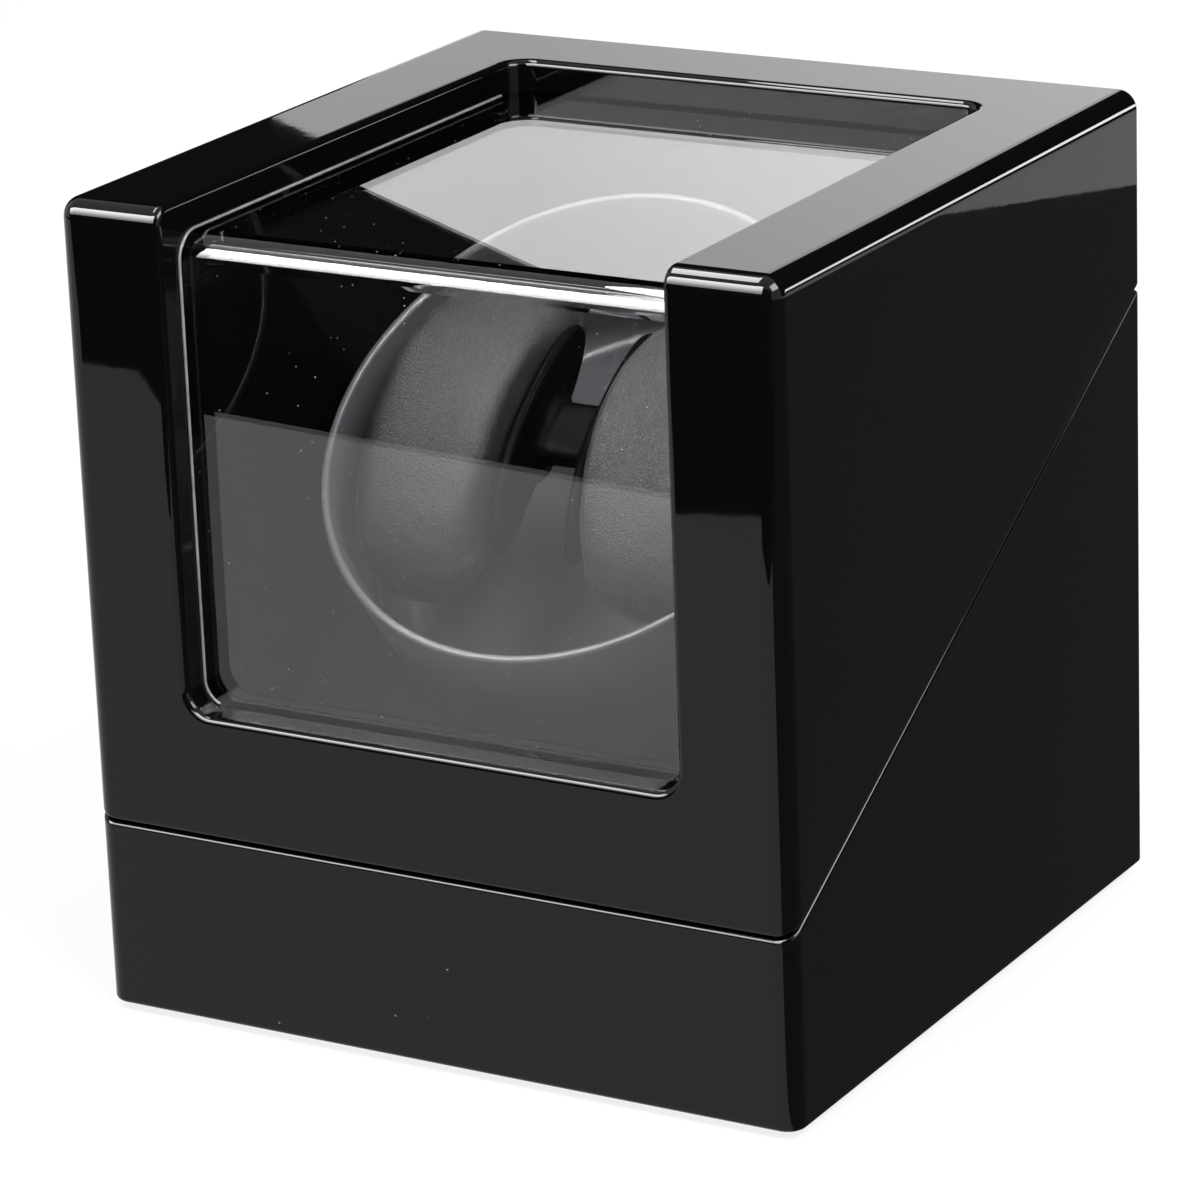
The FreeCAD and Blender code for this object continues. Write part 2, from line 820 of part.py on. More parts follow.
def make_motor_terminals():
    tabs = []
    for place in terminal_places():
        tabs.append(block(
            place.x - terminal_width / 2, place.y - terminal_thickness / 2, can_bottom - terminal_length,
            place.x + terminal_width / 2, place.y + terminal_thickness / 2, can_bottom,
        ))
    return tabs


def make_drive_plate():
    plate = block(plate_left_x, -plate_half_width, plate_bottom, plate_right_x, plate_half_width, plate_top)

    def is_upright(p):
        return near(abs(p.y), plate_half_width) and (near(p.x, plate_left_x) or near(p.x, plate_right_x))

    plate = plate.makeFillet(plate_corner_radius, edges_where(plate, is_upright))
    bush_hole_radius = shaft_radius + bush_wall + press_clearance
    boss_hole_radius = motor_boss_radius + screw_clearance
    bush_hole = rod(bush_hole_radius, plate_thickness, Vector(0, 0, plate_bottom))
    boss_hole = rod(boss_hole_radius, plate_thickness, Vector(pinion_x, 0, plate_bottom))
    screw_holes = plate_screws(screw_clearance) + motor_screws(screw_clearance)
    return cut_all(plate, [bush_hole, boss_hole] + screw_holes)


def make_plate_pillars():
    pillars = []
    for x, u in pillar_places:
        pillar = rod(pillar_radius, pillar_length, Vector(x, u, plate_top))
        pillars.append(cut_all(pillar, plate_screws(screw_clearance) + pillar_screws(screw_clearance)))
    return pillars


def oval_wire(x, inset):
    """Wrist-shaped oval across the cushion: crown arcs and side arcs, tangent to each other."""
    half_u = cushion_half_width - inset
    half_a = cushion_half_height - inset
    side = cushion_side_radius - inset
    crown = ((half_u - side) ** 2 + half_a ** 2 - side ** 2) / (2 * (half_a - side))
    meet = math.atan2(crown - half_a, half_u - side)
    meet_u = half_u - side + side * math.cos(meet)
    meet_a = side * math.sin(meet)

    def at(u, a):
        return Vector(x, u, a - cushion_centre_depth)

    def quarter_pairs(up):
        return at(-meet_u, up * meet_a), at(0, up * half_a), at(meet_u, up * meet_a)

    top = Part.Arc(*quarter_pairs(1)).toShape()
    bottom = Part.Arc(*reversed(quarter_pairs(-1))).toShape()
    right = Part.Arc(at(meet_u, meet_a), at(half_u, 0), at(meet_u, -meet_a)).toShape()
    left = Part.Arc(at(-meet_u, -meet_a), at(-half_u, 0), at(-meet_u, meet_a)).toShape()
    return Part.Wire([top, right, bottom, left])


def oval_prism(x0, x1, inset):
    return Part.Face(oval_wire(x0, inset)).extrude(Vector(x1 - x0, 0, 0))


def make_roll(side):
    outer_x = side * cushion_length / 2
    inner_x = side * (cushion_length / 2 - roll_length)
    roll = oval_prism(inner_x, outer_x, 0.0)
    roll = roll.makeFillet(roll_outer_radius, edges_where(roll, lambda p: near(p.x, outer_x)))
    return roll.makeFillet(roll_inner_radius, edges_where(roll, lambda p: near(p.x, inner_x)))


cheek_outer_x = cushion_length / 2 - roll_length - cheek_groove
cheek_inner_x = cheek_outer_x - cheek_thickness


def make_bridge():
    """Two cheeks beside the rolls and the bar that joins them, with open strap gaps around it."""
    half = bar_width / 2
    top = -bar_front_depth
    bottom = top - bar_thickness
    bar = block(-cheek_outer_x, -half, bottom, cheek_outer_x, half, top)
    bar = bar.makeFillet(bar_corner_radius, edges_where(bar, lambda p: near(p.x, 0)))
    bridge = bar
    for side in (-1, 1):
        cheek = oval_prism(side * cheek_outer_x, side * cheek_inner_x, cheek_inset)
        rim = edges_where(cheek, lambda p: near(abs(p.x), cheek_inner_x))
        bridge = bridge.fuse(cheek.makeFillet(cheek_edge_radius, rim))
    bridge = bridge.removeSplitter()
    inner = edges_where(bridge, lambda p: near(abs(p.x), cheek_inner_x))
    roots = [edge for edge in inner if bottom - margin < edge.CenterOfMass.z < top + margin]
    roots = [edge for edge in roots if abs(edge.CenterOfMass.y) < half + margin]
    return bridge.makeFillet(bar_root_radius, roots)


def make_supply_socket():
    """Round supply socket: body in the pocket, sleeve through the wall, bore with a centre pin."""
    backward = Vector(0, 1, 0)
    body = rod(socket_radius, control_body_depth, Vector(socket_x, board_front_y, control_z), backward)
    sleeve_length = control_skin + socket_nut_thickness
    sleeve = rod(socket_sleeve_radius, sleeve_length, Vector(socket_x, pocket_y, control_z), backward)
    bore_start = Vector(socket_x, back_y + socket_nut_thickness - socket_bore_depth, control_z)
    bore = rod(socket_bore_radius, socket_bore_depth, bore_start, backward)
    bore = bore.cut(rod(socket_pin_radius, socket_bore_depth - socket_pin_setback, bore_start, backward))
    return body.fuse(sleeve).cut(bore).removeSplitter()


def make_socket_nut():
    """Round nut that clamps the socket to the back wall."""
    backward = Vector(0, 1, 0)
    start = Vector(socket_x, back_y, control_z)
    nut = rod(socket_nut_radius, socket_nut_thickness, start, backward)
    return nut.cut(rod(socket_sleeve_radius + press_clearance, socket_nut_thickness, start, backward))


stem_end_y = back_y + switch_nut_thickness + knob_gap + stem_engagement


def make_mode_switch():
    backward = Vector(0, 1, 0)
    half = switch_body_size / 2
    body = block(
        switch_x - half, board_front_y, control_z - half, switch_x + half, pocket_y, control_z + half
    )
    bush = rod(switch_bush_radius, control_skin + switch_nut_thickness,
               Vector(switch_x, pocket_y, control_z), backward)
    bore = rod(switch_stem_radius + running_clearance, control_body_depth,
               Vector(switch_x, back_y + switch_nut_thickness - control_body_depth, control_z), backward)
    return body.fuse(bush).cut(bore).removeSplitter()


def make_switch_nut():
    """Hexagon nut that clamps the switch to the back wall."""
    corner = switch_nut_size / math.sqrt(3)
    start = Vector(switch_x, back_y, control_z)
    points = []
    for step in range(6):
        angle = math.radians(60 * step)
        points.append(start + Vector(corner * math.cos(angle), 0, corner * math.sin(angle)))
    nut = polygon_prism(points, Vector(0, switch_nut_thickness, 0))
    return nut.cut(rod(switch_bush_radius + press_clearance, switch_nut_thickness, start, Vector(0, 1, 0)))


def make_switch_stem():
    low = back_y + switch_nut_thickness - control_body_depth + thrust_clearance
    return rod(switch_stem_radius, stem_end_y - low, Vector(switch_x, low, control_z), Vector(0, 1, 0))


def make_mode_knob():
    """Fluted knob with a raised pointer on its face."""
    backward = Vector(0, 1, 0)
    start_y = back_y + switch_nut_thickness + knob_gap
    start = Vector(switch_x, start_y, control_z)
    end_y = start_y + knob_length
    face_y = end_y - knob_pointer_height
    knob = rod(knob_radius, face_y - start_y, start, backward)
    knob = knob.makeFillet(knob_edge_radius, edges_where(knob, lambda p: near(p.y, face_y)))
    for step in range(knob_flutes):
        angle = 2 * math.pi * step / knob_flutes
        to_flute = Vector(knob_radius * math.cos(angle), 0, knob_radius * math.sin(angle))
        knob = knob.cut(rod(knob_flute_radius, knob_length, start + to_flute, backward))
    half = knob_pointer_width / 2
    pointer = block(switch_x - half, face_y - knob_edge_radius, control_z, switch_x + half, end_y,
                    control_z + knob_radius - knob_pointer_margin)
    knob = knob.fuse(pointer)
    bore = rod(switch_stem_radius + press_clearance, stem_end_y - start_y, start, backward)
    return knob.cut(bore)


board_back_y = board_front_y - board_thickness
plug_x = control_pocket_centre + board_width / 2 - plug_width


def make_control_board():
    half = board_width / 2
    return block(
        control_pocket_centre - half, board_back_y, control_z - board_height / 2,
        control_pocket_centre + half, board_front_y, control_z + board_height / 2,
    )


def make_board_parts():
    chip_x = control_pocket_centre - board_width / 4
    half = chip_size / 2
    chip = block(chip_x - half, board_back_y - chip_thickness, control_z - half, chip_x + half, board_back_y,
                 control_z + half)
    can_centre = Vector(control_pocket_centre, board_back_y - capacitor_height, control_z)
    capacitor = rod(capacitor_radius, capacitor_height, can_centre, Vector(0, 1, 0))
    plug = block(
        plug_x - plug_width / 2, board_back_y - plug_depth, control_z - plug_height / 2,
        plug_x + plug_width / 2, board_back_y, control_z + plug_height / 2,
    )
    return [chip, capacitor, plug]


def lead_tube(points):
    """Round lead along straight runs joined by tangent arcs."""
    edges = []
    last = points[0]
    for before, corner, after in zip(points, points[1:], points[2:]):
        run_in = corner - before
        run_out = after - corner
        reach = lead_bend_share * min(run_in.Length, run_out.Length)
        to_corner = Vector(run_in).normalize()
        from_corner = Vector(run_out).normalize()
        start = corner - to_corner * reach
        end = corner + from_corner * reach
        half_turn = to_corner.getAngle(from_corner) / 2
        radius = reach / math.tan(half_turn)
        print("lead bend radius", round(radius, 2))
        inward = (from_corner - to_corner).normalize()
        middle = corner + inward * (radius / math.cos(half_turn) - radius)
        edges.append(Part.makeLine(last, start))
        edges.append(Part.Arc(start, middle, end).toShape())
        last = end
    edges.append(Part.makeLine(last, points[-1]))
    path = Part.Wire(edges)
    first_run = points[1] - points[0]
    section = Part.Wire(Part.makeCircle(lead_radius, points[0], first_run))
    return path.makePipeShell([section], True, False)


def make_motor_leads():
    leads = []
    for sign, place in zip((-1, 1), terminal_places()):
        tip = to_case(place + Vector(0, 0, -terminal_length - running_clearance))
        below = to_case(place + Vector(0, 0, -terminal_length - lead_reach))
        start = Vector(plug_x, board_back_y - plug_depth, control_z + sign * plug_height / 4)
        out = start - Vector(0, lead_reach, 0)
        run = (below - out) / lead_runs_across
        sag = Vector(0, 0, lead_sag)
        across = [out + run * step - sag for step in range(1, lead_runs_across)]
        leads.append(lead_tube([start, out] + across + [below, tip]))
    return leads


def build():
    parts["lid_shell"] = make_lid_shell()
    parts["window_sheet"] = make_window_sheet()
    parts["base_case"] = make_base_case()
    parts["bottom_panel"] = make_bottom_panel()
    parts["bottom_panel_screws"] = panel_screws()
    parts["rubber_feet"] = make_feet()

    for x_middle, name in zip(hinge_middles, ("left", "right")):
        parts["lid_hinge_leaf_" + name] = hinge_leaf(x_middle, 1)
        parts["base_hinge_leaf_" + name] = hinge_leaf(x_middle, -1)
    parts["hinge_pins"] = make_hinge_pins()
    parts["lid_hinge_screws"] = hinge_screws(lid_screw_z)
    parts["base_hinge_screws"] = hinge_screws(base_screw_z)

    parts["deck_panel"] = make_deck_panel()
    parts["deck_cleats"] = make_deck_cleats()
    parts["deck_screws"] = [on_rotor(screw) for screw in deck_screws()]
    parts["upper_bush"] = on_rotor(make_bush(deck_top, deck_thickness, 1))
    parts["lower_bush"] = on_rotor(make_bush(plate_top, plate_thickness, 1))
    parts["drive_plate"] = on_rotor(make_drive_plate())
    parts["plate_pillars"] = [on_rotor(pillar) for pillar in make_plate_pillars()]
    parts["plate_screws"] = [on_rotor(screw) for screw in plate_screws()]
    parts["pillar_screws"] = [on_rotor(screw) for screw in pillar_screws()]
    parts["motor_head"] = on_rotor(make_motor_head())
    parts["motor_can"] = on_rotor(make_motor_can())
    parts["motor_terminals"] = [on_rotor(tab) for tab in make_motor_terminals()]
    parts["motor_screws"] = [on_rotor(screw) for screw in motor_screws()]
    parts["motor_leads"] = make_motor_leads()

    parts["rotor_cup"] = on_rotor(make_cup())
    parts["rotor_shaft"] = on_rotor(make_shaft())
    parts["driven_gear"] = on_rotor(make_driven_gear())
    parts["shaft_clip"] = on_rotor(make_clip())
    parts["motor_pinion"] = on_rotor(make_pinion())
    parts["motor_shaft"] = on_rotor(make_motor_shaft())

    parts["cushion_bridge"] = on_rotor(make_bridge())
    parts["cushion_roll_left"] = on_rotor(make_roll(-1))
    parts["cushion_roll_right"] = on_rotor(make_roll(1))

    parts["supply_socket"] = make_supply_socket()
    parts["socket_nut"] = make_socket_nut()
    parts["mode_switch"] = make_mode_switch()
    parts["switch_nut"] = make_switch_nut()
    parts["switch_stem"] = make_switch_stem()
    parts["mode_knob"] = make_mode_knob()
    parts["control_board"] = make_control_board()
    parts["board_parts"] = make_board_parts()


def write():
    os.makedirs("parts", exist_ok=True)
    for name, shape in parts.items():
        solid = Part.makeCompound(shape) if isinstance(shape, list) else shape
        solid.exportStep("parts/" + name + ".step")
        print(name, len(solid.Solids), round(solid.Volume, 1), solid.isValid())


build()
write()
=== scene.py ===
"""Looks of a single watch winder box: gloss black case, bent clear window, tilted cup, leather cushion."""
import json
import math

import bmesh
import bpy
import numpy as np
from mathutils import Matrix, Vector, noise


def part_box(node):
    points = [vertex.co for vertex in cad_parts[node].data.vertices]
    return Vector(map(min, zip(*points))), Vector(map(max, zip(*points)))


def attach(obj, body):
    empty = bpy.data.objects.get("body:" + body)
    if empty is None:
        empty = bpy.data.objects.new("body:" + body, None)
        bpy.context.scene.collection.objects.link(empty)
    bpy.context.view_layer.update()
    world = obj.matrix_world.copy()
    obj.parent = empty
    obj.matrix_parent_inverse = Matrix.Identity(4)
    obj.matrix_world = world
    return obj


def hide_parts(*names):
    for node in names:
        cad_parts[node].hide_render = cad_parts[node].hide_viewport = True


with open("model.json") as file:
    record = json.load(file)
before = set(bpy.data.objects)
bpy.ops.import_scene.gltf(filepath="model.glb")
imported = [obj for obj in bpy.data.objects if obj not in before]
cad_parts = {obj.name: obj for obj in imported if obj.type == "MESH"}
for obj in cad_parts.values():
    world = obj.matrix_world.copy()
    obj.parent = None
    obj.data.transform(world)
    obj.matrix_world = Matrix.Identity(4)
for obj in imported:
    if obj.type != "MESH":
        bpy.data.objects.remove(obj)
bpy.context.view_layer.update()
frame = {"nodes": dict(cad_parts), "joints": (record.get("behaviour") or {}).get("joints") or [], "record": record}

MM = 0.001
nodes = frame["nodes"]
slot_of_node = {row["node"]: row["material_slot"] for row in frame["record"]["subparts"]}

# The camera, at the photograph's viewing angle
camera_place = Vector((0.508258, -0.880278, 0.411314))
camera_azimuth = math.radians(30.4)
camera_elevation = math.radians(18.611)
camera_roll = math.radians(-2.131)
camera_lens = 165.745
camera_sensor = 36.0

# The rotor's own frame: across the box, up the cup's rim and out of the cup
rotor_joint = next(joint for joint in frame["joints"] if joint["name"] == "rotor_spin")
rotor_centre = Vector(rotor_joint["pos_m"])
across = Vector((1, 0, 0))
outward = Vector(rotor_joint["axis"]).normalized()
upward = outward.cross(across)


def on_rotor(x, u, a):
    """A point given across the box, up the rim and out of the cup."""
    return rotor_centre + across * x + upward * u + outward * a


def span(node, direction):
    """The lowest and highest place of a node along a direction through the rotor's centre."""
    places = [(vertex.co - rotor_centre).dot(direction) for vertex in nodes[node].data.vertices]
    return min(places), max(places)


# Node trees

class Wiring:
    """Adds nodes to one tree. A socket takes a plain value, or a link from another node's socket."""

    # A Mix node's colour sockets share their names with its other sockets, so they go by number
    first_colour, second_colour, mixed_colour = 6, 7, 2

    def __init__(self, tree):
        self.tree = tree

    def feed(self, socket, value):
        if isinstance(value, bpy.types.NodeSocket):
            self.tree.links.new(value, socket)
        else:
            socket.default_value = value

    def fill(self, node, values):
        for name, value in values.items():
            self.feed(node.inputs[name], value)

    def add(self, kind, values=None, **settings):
        made = self.tree.nodes.new(kind)
        for name, value in settings.items():
            setattr(made, name, value)
        self.fill(made, values or {})
        return made

    def math(self, operation, first, second=0.0, third=0.0):
        return self.add("ShaderNodeMath", {0: first, 1: second, 2: third}, operation=operation).outputs[0]

    def rescale(self, value, low, high, to_low=0.0, to_high=1.0):
        made = self.add("ShaderNodeMapRange", {
            "Value": value, "From Min": low, "From Max": high, "To Min": to_low, "To Max": to_high})
        return made.outputs["Result"]

    def mix_colours(self, factor, first, second):
        values = {"Factor": factor, self.first_colour: first, self.second_colour: second}
        return self.add("ShaderNodeMix", values, data_type="RGBA").outputs[self.mixed_colour]

    def mix_shaders(self, factor, first, second):
        return self.add("ShaderNodeMixShader", {0: factor, 1: first, 2: second}).outputs[0]

    def clouds(self, place, scale, detail, roughness=0.5):
        values = {"Vector": place, "Scale": scale, "Detail": detail, "Roughness": roughness}
        return self.add("ShaderNodeTexNoise", values).outputs

    def group(self, tree, values):
        return self.add("ShaderNodeGroup", values, node_tree=tree).outputs

    def object_place(self):
        return self.add("ShaderNodeTexCoord").outputs["Object"]

    def bump(self, height, distance, strength=1.0):
        made = self.add("ShaderNodeBump", {"Height": height, "Distance": distance, "Strength": strength})
        return made.outputs["Normal"]


def grey(value, blue=0.0):
    return (value, value, value * (1 + blue), 1)


# Effects that several finishes share

def start_group(name, inputs, outputs):
    """A shader group with float inputs, one vector input named Place, and float outputs."""
    tree = bpy.data.node_groups.new(name, "ShaderNodeTree")
    tree.interface.new_socket("Place", in_out="INPUT", socket_type="NodeSocketVector")
    for socket in inputs:
        tree.interface.new_socket(socket, in_out="INPUT", socket_type="NodeSocketFloat")
    for socket in outputs:
        tree.interface.new_socket(socket, in_out="OUTPUT", socket_type="NodeSocketFloat")
    given = tree.nodes.new("NodeGroupInput").outputs
    put = tree.nodes.new("NodeGroupOutput").inputs
    return tree, Wiring(tree), given, put


def dust_group():
    """Bright specks, gathered where the smears lie, and soft smears that change the gloss."""
    speck_core, speck_edge = 0.05, 0.10
    smear_start, smear_full = 0.42, 0.72
    gathering, least_share = 2.4, 0.25
    tree, shading, given, put = start_group(
        "dust_and_smears", ["Specks", "Share", "Smears"], ["Dust", "Smear"])
    cells = shading.add("ShaderNodeTexVoronoi", {"Vector": given["Place"], "Scale": given["Specks"]}).outputs
    core = shading.rescale(cells["Distance"], speck_core, speck_edge, 1.0, 0.0)
    chance = shading.add("ShaderNodeSeparateColor", {"Color": cells["Color"]}).outputs["Red"]
    cloud = shading.clouds(given["Place"], given["Smears"], detail=4.0)["Fac"]
    smear = shading.rescale(cloud, smear_start, smear_full)
    weight = shading.math("MULTIPLY_ADD", smear, gathering, least_share)
    chosen = shading.math("LESS_THAN", chance, shading.math("MULTIPLY", given["Share"], weight))
    shading.feed(put["Dust"], shading.math("MULTIPLY", core, chosen))
    shading.feed(put["Smear"], smear)
    return tree


def grain_group():
    """A fine random grain and a slow change of tone, for metal, moulded plastic, rubber and board."""
    tree, shading, given, put = start_group("surface_grain", ["Grain", "Tone Size"], ["Height", "Tone"])
    fine = shading.clouds(given["Place"], given["Grain"], detail=5.0)["Fac"]
    slow = shading.clouds(given["Place"], given["Tone Size"], detail=2.0)["Fac"]
    half_fine = shading.math("MULTIPLY", fine, 0.5)
    shading.feed(put["Height"], fine)
    shading.feed(put["Tone"], shading.math("MULTIPLY_ADD", slow, 0.5, half_fine))
    return tree


def leather_group():
    """Pebbled skin with short oblique creases."""
    warp_reach = 1.1 * MM
    slant = (0.5, 0.35, 0.6)
    pebble_shape = (1.0, 0.5, 1.0)
    valley_width = 0.22
    valley_depth = 0.6
    fold_low, fold_high = 0.3, 0.7
    tree, shading, given, put = start_group("leather_skin", ["Pebble", "Crease"], ["Height", "Valley"])
    warp = shading.clouds(given["Place"], given["Crease"], detail=3.0)["Color"]
    shift = shading.add("ShaderNodeVectorMath", {0: warp, "Scale": warp_reach}, operation="SCALE").outputs[0]
    moved = shading.add("ShaderNodeVectorMath", {0: given["Place"], 1: shift}, operation="ADD").outputs[0]
    turned = shading.add("ShaderNodeMapping", {
        "Vector": moved, "Rotation": slant, "Scale": pebble_shape}).outputs[0]
    cells = shading.add("ShaderNodeTexVoronoi", {"Vector": turned, "Scale": given["Pebble"]},
                        feature="DISTANCE_TO_EDGE")
    valley = shading.rescale(cells.outputs["Distance"], 0.0, valley_width, 1.0, 0.0)
    creases = shading.clouds(turned, given["Crease"], detail=6.0, roughness=0.7)["Fac"]
    fold = shading.rescale(creases, fold_low, fold_high)
    low = shading.math("MULTIPLY", valley, valley_depth)
    shading.feed(put["Height"], shading.math("SUBTRACT", fold, low))
    shading.feed(put["Valley"], valley)
    return tree


dust_and_smears = dust_group()
surface_grain = grain_group()
leather_skin = leather_group()
dust_colour = grey(0.25)


def wiping_marks(shading, place, dust_share, specks=420.0, smears=38.0):
    """Dust and smears on a surface. Specks and smears are counted per metre."""
    return shading.group(dust_and_smears, {
        "Place": place, "Specks": specks, "Share": dust_share, "Smears": smears})


# Finishes

def bare_material(name):
    """A material with no nodes yet, and the wiring for them."""
    material = bpy.data.materials.new(name)
    material.use_nodes = True
    material.node_tree.nodes.clear()
    return material, Wiring(material.node_tree)


def start_material(name):
    """A material with one plain surface. Gives the material, its wiring, the surface and the output."""
    material, shading = bare_material(name)
    surface = shading.add("ShaderNodeBsdfPrincipled")
    output = shading.add("ShaderNodeOutputMaterial", {"Surface": surface.outputs[0]})
    return material, shading, surface, output


def gloss_black(name, colour, level, roughness, dust_share):
    """Polished black: a clean mirror with a faint skin, dust and wiping marks."""
    smear_roughness = 0.02
    skin_relief = 0.0022 * MM
    material, shading, surface, _ = start_material(name)
    place = shading.object_place()
    marks = wiping_marks(shading, place, dust_share)
    skin = shading.group(surface_grain, {"Place": place, "Grain": 260.0, "Tone Size": 30.0})
    shading.fill(surface, {
        "Base Color": shading.mix_colours(marks["Dust"], grey(colour, blue=0.06), dust_colour),
        "Roughness": shading.math("MULTIPLY_ADD", marks["Smear"], smear_roughness, roughness),
        "Specular IOR Level": level,
        "Normal": shading.bump(skin["Height"], skin_relief)})
    return material


def clear_acrylic():
    """Polished clear sheet with some dust. Light for the inside passes straight through it."""
    smear_roughness = 0.008
    material, shading, surface, output = start_material("clear_acrylic")
    marks = wiping_marks(shading, shading.object_place(), dust_share=0.06, specks=750.0, smears=45.0)
    shading.fill(surface, {
        "Base Color": shading.mix_colours(marks["Dust"], (0.985, 0.99, 0.99, 1), grey(0.75)),
        "Roughness": shading.math("MULTIPLY", marks["Smear"], smear_roughness),
        "IOR": 1.47,
        "Transmission Weight": 1.0})
    speck = shading.add("ShaderNodeBsdfDiffuse", {"Color": grey(0.8)}).outputs[0]
    dusty = shading.mix_shaders(marks["Dust"], surface.outputs[0], speck)
    path = shading.add("ShaderNodeLightPath").outputs
    lets_light_in = shading.math("MAXIMUM", path["Is Shadow Ray"], path["Is Diffuse Ray"])
    open_way = shading.add("ShaderNodeBsdfTransparent", {"Color": (0.93, 0.94, 0.94, 1)}).outputs[0]
    shading.fill(output, {"Surface": shading.mix_shaders(lets_light_in, dusty, open_way)})
    return material


def grained_leather(name, light, dark, roughness, level, pebble, relief, dust_share):
    """Pebbled hide with short creases. The roughness changes slowly over it."""
    spread = 0.07
    tone_low, tone_high = 0.3, 0.7
    material, shading, surface, _ = start_material(name)
    place = shading.object_place()
    skin = shading.group(leather_skin, {"Place": place, "Pebble": pebble, "Crease": 700.0})
    tone = shading.group(surface_grain, {"Place": place, "Grain": 900.0, "Tone Size": 45.0})["Tone"]
    marks = wiping_marks(shading, place, dust_share)
    hide = shading.mix_colours(skin["Valley"], light, dark)
    shading.fill(surface, {
        "Base Color": shading.mix_colours(marks["Dust"], hide, dust_colour),
        "Roughness": shading.rescale(tone, tone_low, tone_high, roughness - spread, roughness + spread),
        "Specular IOR Level": level,
        "Normal": shading.bump(skin["Height"], relief, strength=0.5)})
    return material


def follow_grain(shading, surface, skin, light, dark, smoothest, roughest, relief):
    """Tone, roughness and relief that follow one grain."""
    tone_low, tone_high = 0.25, 0.75
    shading.fill(surface, {
        "Base Color": shading.mix_colours(skin["Tone"], dark, light),
        "Roughness": shading.rescale(skin["Tone"], tone_low, tone_high, smoothest, roughest),
        "Normal": shading.bump(skin["Height"], relief, strength=0.6)})


def bare_metal(name, light, dark, roughness, stretch):
    """Plated, turned or brushed metal. The stretch draws the grain out along an axis."""
    relief = 0.012 * MM
    smoother, rougher = 0.06, 0.08
    material, shading, surface, _ = start_material(name)
    drawn = shading.add("ShaderNodeMapping", {"Vector": shading.object_place(), "Scale": stretch}).outputs[0]
    skin = shading.group(surface_grain, {"Place": drawn, "Grain": 1800.0, "Tone Size": 90.0})
    follow_grain(shading, surface, skin, light, dark, roughness - smoother, roughness + rougher, relief)
    shading.fill(surface, {"Metallic": 1.0})
    return material


def plain_skin(name, light, dark, roughness, level, grain, relief):
    """Moulded plastic, rubber or painted board: a fine grain with a slow change of tone."""
    smoother, rougher = 0.05, 0.07
    material, shading, surface, _ = start_material(name)
    place = shading.object_place()
    skin = shading.group(surface_grain, {"Place": place, "Grain": grain, "Tone Size": 60.0})
    follow_grain(shading, surface, skin, light, dark, roughness - smoother, roughness + rougher, relief)
    shading.fill(surface, {"Specular IOR Level": level})
    return material


even_grain = (1, 1, 1)
grain_along_x = (0.06, 1, 1)


def make_finishes():
    """One material for each of the record's slots."""
    return {
        "lacquer": gloss_black("piano_lacquer", colour=0.0022, level=0.24, roughness=0.012, dust_share=0.008),
        "cup_plastic": gloss_black("cup_gloss", colour=0.14, level=0.40, roughness=0.26, dust_share=0.01),
        "bridge_plastic": grained_leather(
            "bridge_skin", grey(0.0030), grey(0.0015), roughness=0.30, level=0.016,
            pebble=1600.0, relief=0.03 * MM, dust_share=0.03),
        "clear_sheet": clear_acrylic(),
        "leather": grained_leather(
            "soft_leather", grey(0.036, blue=0.05), grey(0.013, blue=0.05), roughness=0.45, level=0.26,
            pebble=1600.0, relief=0.22 * MM, dust_share=0.004),
        "hinge_metal": bare_metal("hinge_nickel", grey(0.80), grey(0.62), 0.20, grain_along_x),
        "screw_steel": bare_metal("screw_plating", grey(0.72), grey(0.50), 0.28, even_grain),
        "shaft_steel": bare_metal("ground_steel", grey(0.66), grey(0.50), 0.26, grain_along_x),
        "nut_metal": bare_metal("nut_plating", grey(0.78), grey(0.60), 0.22, even_grain),
        "plate_metal": bare_metal("satin_aluminium", grey(0.74), grey(0.60), 0.38, grain_along_x),
        "motor_metal": bare_metal("motor_plating", grey(0.60), grey(0.46), 0.32, even_grain),
        "bush_brass": bare_metal(
            "turned_brass", (0.80, 0.58, 0.25, 1), (0.62, 0.42, 0.16, 1), 0.28, even_grain),
        "panel_board": plain_skin(
            "black_board", grey(0.010), grey(0.005), roughness=0.45, level=0.10,
            grain=1400.0, relief=0.04 * MM),
        "gear_plastic": plain_skin(
            "gear_acetal", (0.84, 0.83, 0.78, 1), (0.74, 0.73, 0.68, 1), roughness=0.42, level=0.45,
            grain=1200.0, relief=0.02 * MM),
        "lead_cover": plain_skin(
            "lead_cover", grey(0.060), grey(0.035), roughness=0.45, level=0.4,
            grain=900.0, relief=0.02 * MM),
        "control_plastic": plain_skin(
            "control_black", grey(0.032), grey(0.018), roughness=0.40, level=0.45,
            grain=2200.0, relief=0.03 * MM),
        "circuit_board": plain_skin(
            "solder_mask", (0.035, 0.20, 0.08, 1), (0.02, 0.12, 0.05, 1), roughness=0.34, level=0.5,
            grain=600.0, relief=0.02 * MM),
        "feet_rubber": plain_skin(
            "foot_rubber", grey(0.040), grey(0.024), roughness=0.72, level=0.3,
            grain=1600.0, relief=0.06 * MM),
    }


finishes = make_finishes()
# A near-black finish that only the deck screws get, darker than the other screws.
near_black_deck_steel = bare_metal("near_black_deck_screws", grey(0.030), grey(0.016), 0.42, even_grain)


def dress_cad_nodes():
    for name, part in nodes.items():
        part.data.materials.clear()
        part.data.materials.append(finishes[slot_of_node[name]])


# The leather watch cushion

